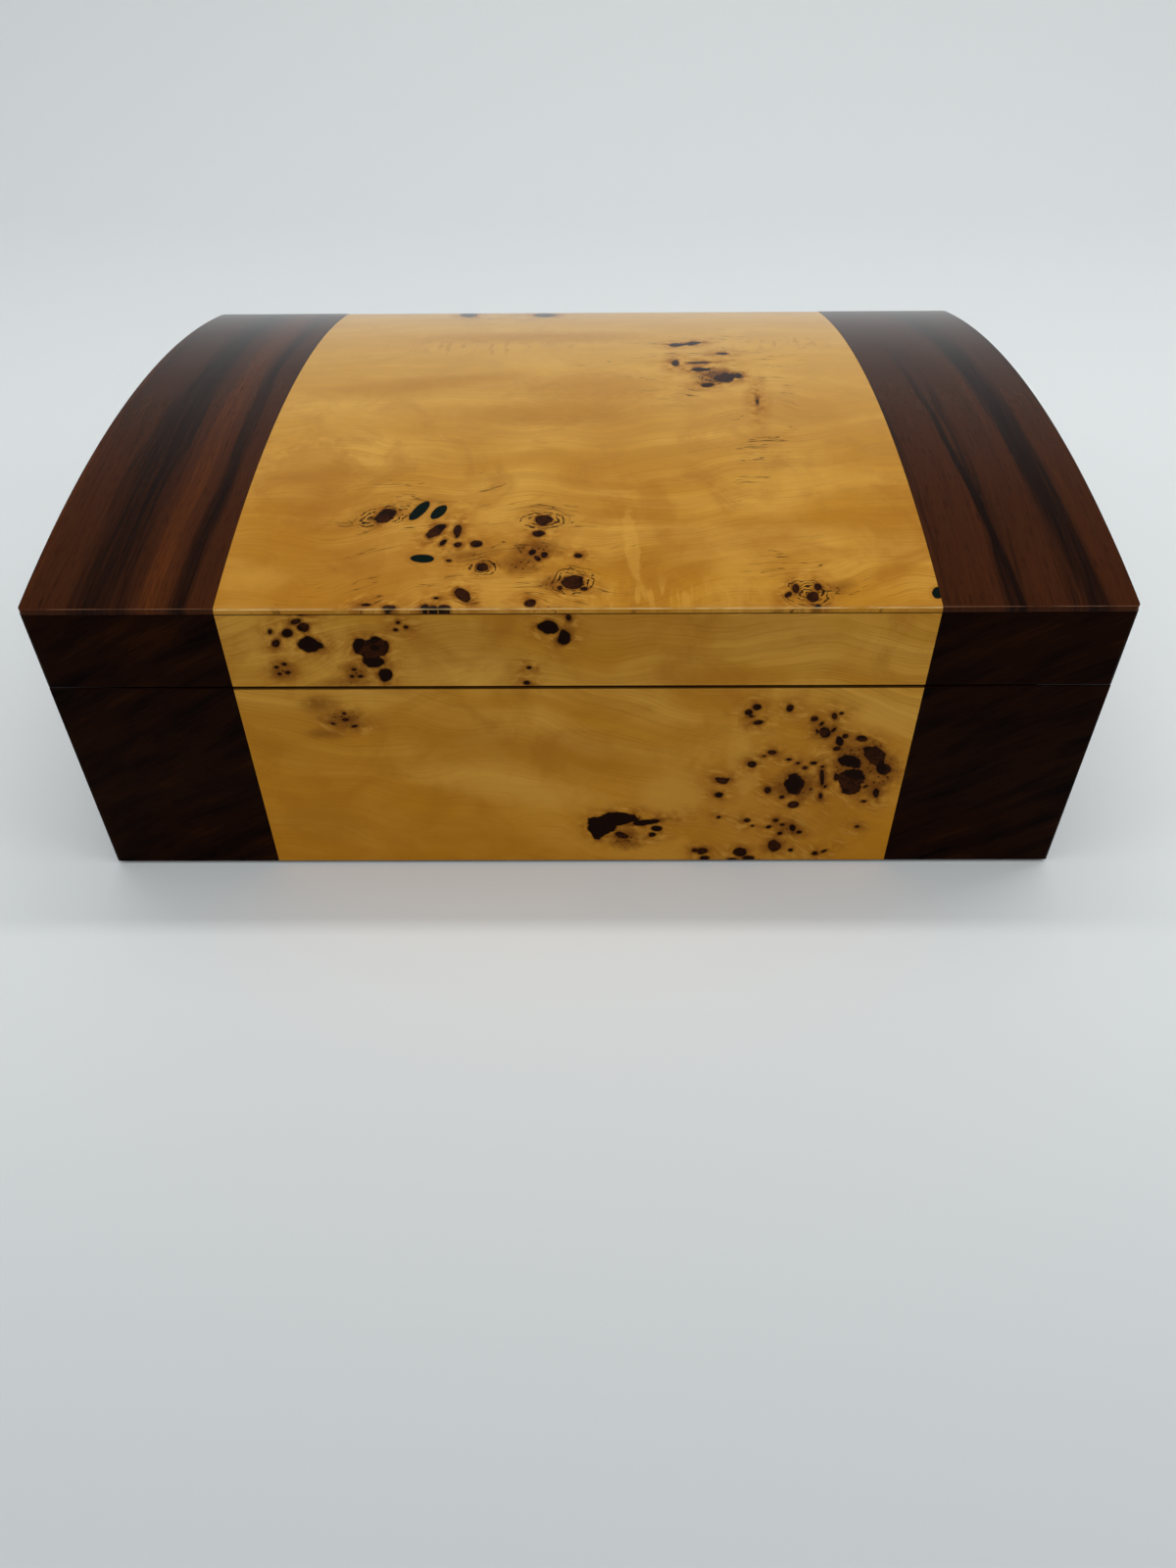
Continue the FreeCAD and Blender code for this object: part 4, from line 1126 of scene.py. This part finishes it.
class KEEPSAKE_OT_dark_faces(KeepsakeOperator):
    """Lay the dark veneers on the front, the back and the two ends"""
    bl_idname = "keepsake.dark_faces"
    bl_label = "Dark faces"

    def execute(self, context):
        tone = settings().dark.face_shade
        shade_levels = shade_line_levels("base") + shade_line_levels("lid")
        # The faces and the ends get darker copies of the dark wood: painted shade.
        face_wood = dark_face("dark_faces", "X", tone, shade_levels, STRIPE_LEAN)
        end_wood = dark_face("dark_ends", "Y", (1 + tone) / 2)
        for part in ("base", "lid"):
            for side in SIDES:
                low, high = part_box(f"{part}_{side}_end")
                outer = low.x if side == "left" else high.x
                for face in ("front", "back"):
                    node = f"{part}_{face}_{side}_band"
                    piece = face_veneer(f"{part}_{face}_{side}_veneer", node, outer)
                    if face == "back":
                        cut_for_hinge(piece, side)
                    dress(piece, part, "dark_veneer", face_wood, node)
                piece = self.end_veneer(f"{part}_{side}_end", part, outer)
                dress(piece, part, "dark_veneer", end_wood, f"{part}_{side}_end")
        return {"FINISHED"}

    @staticmethod
    def end_veneer(node, part, outer):
        """A veneer on an end of the base or the lid, softened along the rim and the foot."""
        low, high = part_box(node)
        rim = settings().edges.rim
        rounded = [(on(x=outer, z=low.z), rim)]
        if part == "lid":
            top = ARCH.points(low.y, high.y, ARCH.inner)
        else:
            top = [(low.y, high.z), (high.y, high.z)]
            rounded.append((on(x=outer, z=high.z), rim))
        piece = prism(node + "_veneer", [(high.y, low.z), (low.y, low.z), *top], "x", low.x, high.x)
        soften(piece, *rounded)
        return piece


class KEEPSAKE_OT_domed_top(KeepsakeOperator):
    """Lay the three veneers on the domed top"""
    bl_idname = "keepsake.domed_top"
    bl_label = "Domed top"

    def execute(self, context):
        edges = settings().edges
        woods = {
            "burl": burl_top(),
            "left_band": dark_top("dark_top_left", LEFT_STREAKS, -1.0),
            "right_band": dark_top("dark_top_right", RIGHT_STREAKS, 1.0),
        }
        arris = ARCH.height(ARCH.front, ARCH.outer)
        faces = ARCH.front, ARCH.back
        for part, wood in woods.items():
            node = "lid_top_" + part
            low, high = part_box(node)
            piece = arched_sheet(node + "_veneer", node, wood)
            rounded = [(on(y=face, z=arris), edges.arris) for face in faces]
            if part != "burl":
                end = low.x if part == "left_band" else high.x
                rounded.append((self.end_arc(end), edges.arris))
                rounded += [(on(x=end, y=face), edges.corner) for face in faces]
            soften(piece, *rounded)
            dress(piece, "lid", "burl_veneer" if part == "burl" else "dark_veneer", wood, node)
        return {"FINISHED"}

    @staticmethod
    def end_arc(end):
        """A test for points on the curved arris at an end of the lid."""
        return lambda point: on(x=end, z=ARCH.height(point.y, ARCH.outer))(point)


class KEEPSAKE_OT_liners(KeepsakeOperator):
    """Cover the boards that line the base in suede"""
    bl_idname = "keepsake.liners"
    bl_label = "Liners"

    def execute(self, context):
        cloth = suede()
        for wall in ("front", "back", "left", "right"):
            node = f"base_{wall}_liner"
            low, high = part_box(node)
            thick = min(high.x - low.x, high.y - low.y)
            corners = {
                "front": [(low.x, low.y), (high.x, low.y), (high.x - thick, high.y), (low.x + thick, high.y)],
                "back": [(high.x, high.y), (low.x, high.y), (low.x + thick, low.y), (high.x - thick, low.y)],
                "left": [(low.x, high.y), (low.x, low.y), (high.x, low.y + thick), (high.x, high.y - thick)],
                "right": [(high.x, low.y), (high.x, high.y), (low.x, high.y - thick), (low.x, low.y + thick)],
            }[wall]
            piece = prism(node + "_cover", corners, "z", low.z, high.z)
            axis = "x" if wall in SIDES else "y"
            faces = [on(**{axis: getattr(corner, axis), "z": high.z}) for corner in (low, high)]
            soften(piece, *((face, settings().edges.cloth) for face in faces))
            dress(piece, "base", "lining_fabric", cloth, node)
        return {"FINISHED"}


class KEEPSAKE_OT_floor_pad(KeepsakeOperator):
    """Lay the soft pad on the floor of the base"""
    bl_idname = "keepsake.floor_pad"
    bl_label = "Floor pad"
    columns, rows = 130, 94
    skirt_share = 0.25
    waves_per_metre = 28

    def execute(self, context):
        look = settings().inside
        low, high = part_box("base_floor_pad")
        form = bmesh.new()
        floor = low.z + self.skirt_share * (high.z - low.z)
        rows = []
        for row in range(self.rows + 1):
            rows.append([])
            for column in range(self.columns + 1):
                x = self.eased(low.x, high.x, column / self.columns)
                y = self.eased(low.y, high.y, row / self.rows)
                edge = min(x - low.x, high.x - x, y - low.y, high.y - y)
                crown = math.sqrt(1 - (1 - min(1.0, edge / look.pad_round)) ** 2)
                wave = noise.noise(Vector((x, y, 0)) * self.waves_per_metre) * look.pad_wave
                top = high.z - look.pad_wave * (1 - crown) + min(0, wave - look.pad_wave / 2)
                rows[-1].append(form.verts.new((x, y, floor + (top - floor) * crown)))
        for near, far in zip(rows, rows[1:]):
            for column in range(self.columns):
                form.faces.new((near[column], near[column + 1], far[column + 1], far[column]))
        skirt = bmesh.ops.extrude_edge_only(form, edges=[edge for edge in form.edges if edge.is_boundary])
        for item in skirt["geom"]:
            if isinstance(item, bmesh.types.BMVert):
                item.co.z = low.z
        bmesh.ops.contextual_create(form, geom=[edge for edge in form.edges if edge.is_boundary])
        piece = mesh_piece("base_floor_pad_cover", form)
        shade(piece.data, sharp=60)
        dress(piece, "base", "lining_fabric", suede(), "base_floor_pad")
        return {"FINISHED"}

    @staticmethod
    def eased(start, end, share_along):
        """A place between two ends, with more steps near the ends."""
        return start + (end - start) * (0.5 - 0.5 * math.cos(math.pi * share_along))


class KEEPSAKE_OT_lid_lining(KeepsakeOperator):
    """Line the inside of the lid"""
    bl_idname = "keepsake.lid_lining"
    bl_label = "Lid lining"

    def execute(self, context):
        low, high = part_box("lid_lining")
        cloth = suede()
        piece = arched_sheet("lid_lining_cover", "lid_lining", cloth)

        def around(point):
            """A test for points on the lower edge, all the way round."""
            level = ARCH.height(point.y, ARCH.under("lid_lining"))
            border = min(point.x - low.x, high.x - point.x, point.y - low.y, high.y - point.y)
            return abs(point.z - level) < TOUCHING and border < TOUCHING

        soften(piece, (around, settings().edges.cloth))
        dress(piece, "lid", "lining_fabric", cloth, "lid_lining")
        return {"FINISHED"}


class KEEPSAKE_OT_felt(KeepsakeOperator):
    """Glue the felt under the box"""
    bl_idname = "keepsake.felt"
    bl_label = "Felt"

    def execute(self, context):
        low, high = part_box("base_felt")
        outline = [(low.x, low.y), (high.x, low.y), (high.x, high.y), (low.x, high.y)]
        piece = prism("base_felt_sheet", outline, "z", low.z, high.z)
        soften(piece, (on(z=low.z), settings().edges.felt), segments=2)
        dress(piece, "base", "underside_felt", felt(), "base_felt")
        return {"FINISHED"}


class KEEPSAKE_OT_hinges(KeepsakeOperator):
    """Finish the leaves, pins and stays of the hinges in brass"""
    bl_idname = "keepsake.hinges"
    bl_label = "Hinges"

    def execute(self, context):
        leaf_brass = polished_brass("leaf_brass", (0.3, 3.0, 3.0))
        stay_brass = polished_brass("stay_brass", (3.0, 0.4, 0.4))
        for side in SIDES:
            for part in ("base", "lid"):
                node = f"{side}_hinge_{part}_leaf"
                dress(brass_copy(node), part, "hinge_brass", leaf_brass, node)
            node = f"{side}_hinge_stay"
            dress(brass_copy(node), f"{side}_stay", "hinge_brass", stay_brass, node)
            paint_nodes(leaf_brass, f"{side}_hinge_pin")
        return {"FINISHED"}


class KEEPSAKE_OT_screws(KeepsakeOperator):
    """Set the slotted screws in the hinge leaves"""
    bl_idname = "keepsake.screws"
    bl_label = "Screws"

    def execute(self, context):
        make = settings().hinge
        brass = polished_brass("screw_brass", (2.0, 2.0, 2.0))
        tree = screw_tree(brass)
        for part, upright in (("base", True), ("lid", False)):
            node = part + "_hinge_screws"
            boxes = solid_boxes(node)
            low, high = boxes[0]
            radius = (high.x - low.x) / 2
            shank = self.shank_radius(node, upright)
            level = high.z - make.screw_gap if upright else low.z + make.screw_gap
            spots = [((one.x + two.x) / 2, (one.y + two.y) / 2, level) for one, two in boxes]
            mesh = bpy.data.meshes.new(node + "_spots")
            mesh.from_pydata(spots, [], [])
            piece = grown(
                part + "_screws", mesh, tree, Head_radius=radius - make.screw_gap,
                Head_depth=radius - shank, Shank_radius=shank, Length=high.z - low.z - 2 * make.screw_gap,
                Slot_width=make.slot_width, Slot_depth=make.slot_depth, Tip_over=0.0 if upright else math.pi,
                Seed=SEED,
            )
            shade(piece.data, sharp=30)
            dress(piece, part, "screw_brass", brass, node)
        return {"FINISHED"}

    @staticmethod
    def shank_radius(node, upright):
        """The radius of the shank, from the points at its far end."""
        low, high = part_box(node)
        tip = low.z if upright else high.z
        one_low, one_high = solid_boxes(node)[0]
        middle = (one_low + one_high) / 2
        form = merged_copy(node)
        ends = [vertex.co for vertex in form.verts if abs(vertex.co.z - tip) < TOUCHING]
        near = [math.hypot(end.x - middle.x, end.y - middle.y) for end in ends]
        form.free()
        return max(reach for reach in near if reach < one_high.x - one_low.x)


class KEEPSAKE_OT_stage(KeepsakeOperator):
    """Set up the camera, the pale backdrop and the soft lights"""
    bl_idname = "keepsake.stage"
    bl_label = "Stage"
    reach, front_edge, wall, wall_top = 3.0, -2.5, 1.1, 2.2
    bend, bend_steps = 0.45, 24
    # Painted shade on the floor grows from the second depth towards the first, in millimetres.
    fade = -400.0, -60.0

    def execute(self, context):
        look = settings().stage
        scene = context.scene
        scene.view_settings.view_transform = "Standard"
        camera = bpy.data.objects.new("camera", bpy.data.cameras.new("camera"))
        camera.data.lens = look.lens
        camera.location = look.camera_place
        camera.rotation_euler = look.camera_turn
        camera.data.clip_start = 0.01
        scene.collection.objects.link(camera)
        scene.camera = camera
        self.make_backdrop(look)
        self.make_sky(look)
        self.make_lamps(look)
        return {"FINISHED"}

    def make_backdrop(self, look):
        """A floor that curves up into a wall behind the box, with painted shade that darkens it towards the
        camera over the shade fade, which is given in millimetres."""
        form = bmesh.new()
        start = self.wall - self.bend
        profile = [(self.front_edge, 0.0), (start, 0.0)]
        for step in range(1, self.bend_steps + 1):
            angle = math.pi / 2 * step / self.bend_steps
            profile.append((start + self.bend * math.sin(angle), self.bend - self.bend * math.cos(angle)))
        profile.append((self.wall, self.wall_top))
        left, right = [[form.verts.new((x, y, z)) for y, z in profile] for x in (-self.reach, self.reach)]
        for number in range(len(profile) - 1):
            form.faces.new((left[number], right[number], right[number + 1], left[number + 1]))
        mesh = form_mesh("backdrop", form)
        mesh.shade_smooth()
        shading = Shading("backdrop_paper")
        depth = shading.split(shading.place())[1]
        base = shading.mix(shading.smooth(depth, *self.fade), look.shaded_floor, look.backdrop)
        mesh.materials.append(shading.finish(base, 0.6, Specular_IOR_Level=0.25))
        new_piece("backdrop", mesh)

    @staticmethod
    def make_sky(look):
        """A soft sky that is brighter above."""
        world = bpy.data.worlds.new("soft_sky")
        world.use_nodes = True
        graph = Graph(world.node_tree)
        level = graph.split(graph.add("ShaderNodeTexCoord", output="Generated"))[2]
        strength = graph.add("ShaderNodeMapRange", {"Value": level, "To Min": look.horizon,
                                                    "To Max": look.zenith})
        background = world.node_tree.nodes["Background"]
        graph.feed(background.inputs["Color"], look.sky)
        graph.feed(background.inputs["Strength"], strength)
        bpy.context.scene.world = world

    @staticmethod
    def make_lamps(look):
        """A long lamp overhead and a soft lamp on each side, each by its place, size and power."""
        lamps = {
            "overhead": ((0.25, 0.19, 1.2), (1.6, 0.08), look.overhead),
            "left_lamp": ((-1.0, -0.4, 0.6), (0.6, 0.6), look.left_power),
            "right_lamp": ((1.0, -0.4, 0.6), (0.6, 0.6), look.right_power),
        }
        for name, (place, size, power) in lamps.items():
            lamp = bpy.data.lights.new(name, "AREA")
            lamp.shape = "RECTANGLE"
            lamp.size, lamp.size_y = size
            lamp.energy = power
            lamp.color = look.lamp
            light = bpy.data.objects.new(name, lamp)
            light.location = place
            if name != "overhead":
                light.rotation_euler = Vector(place).to_track_quat("Z", "Y").to_euler()
            bpy.context.scene.collection.objects.link(light)


class KEEPSAKE_PT_panel(bpy.types.Panel):
    """Lists the pieces of the box and their settings"""
    bl_idname = "KEEPSAKE_PT_panel"
    bl_label = "Keepsake Box"
    bl_space_type = "VIEW_3D"
    bl_region_type = "UI"
    bl_category = "Keepsake Box"

    def draw(self, context):
        for operator in OPERATORS:
            self.layout.operator(operator.bl_idname)
        for part in BoxSettings.__annotations__:
            values = getattr(settings(), part)
            box = self.layout.box()
            box.label(text=BoxSettings.bl_rna.properties[part].name)
            for name in type(values).__annotations__:
                box.prop(values, name)


SETTINGS = (EdgeSettings, BurlSettings, DarkWoodSettings, LacquerSettings, InsideSettings, HingeSettings,
            StageSettings, BoxSettings)
OPERATORS = (KEEPSAKE_OT_stage, KEEPSAKE_OT_carcass, KEEPSAKE_OT_burl_faces, KEEPSAKE_OT_dark_faces,
             KEEPSAKE_OT_domed_top, KEEPSAKE_OT_liners, KEEPSAKE_OT_floor_pad, KEEPSAKE_OT_lid_lining,
             KEEPSAKE_OT_felt, KEEPSAKE_OT_hinges, KEEPSAKE_OT_screws)


def register():
    """Registers the settings, the operators and the panel."""
    for kind in (*SETTINGS, *OPERATORS, KEEPSAKE_PT_panel):
        bpy.utils.register_class(kind)
    bpy.types.Scene.keepsake_box = bpy.props.PointerProperty(type=BoxSettings)


def unregister():
    """Takes them away again."""
    del bpy.types.Scene.keepsake_box
    for kind in reversed((*SETTINGS, *OPERATORS, KEEPSAKE_PT_panel)):
        bpy.utils.unregister_class(kind)


def main():
    """Makes every piece."""
    register()
    bpy.ops.keepsake.stage()
    bpy.ops.keepsake.carcass()
    bpy.ops.keepsake.burl_faces()
    bpy.ops.keepsake.dark_faces()
    bpy.ops.keepsake.domed_top()
    bpy.ops.keepsake.liners()
    bpy.ops.keepsake.floor_pad()
    bpy.ops.keepsake.lid_lining()
    bpy.ops.keepsake.felt()
    bpy.ops.keepsake.hinges()
    bpy.ops.keepsake.screws()


if __name__ == "__main__":
    main()
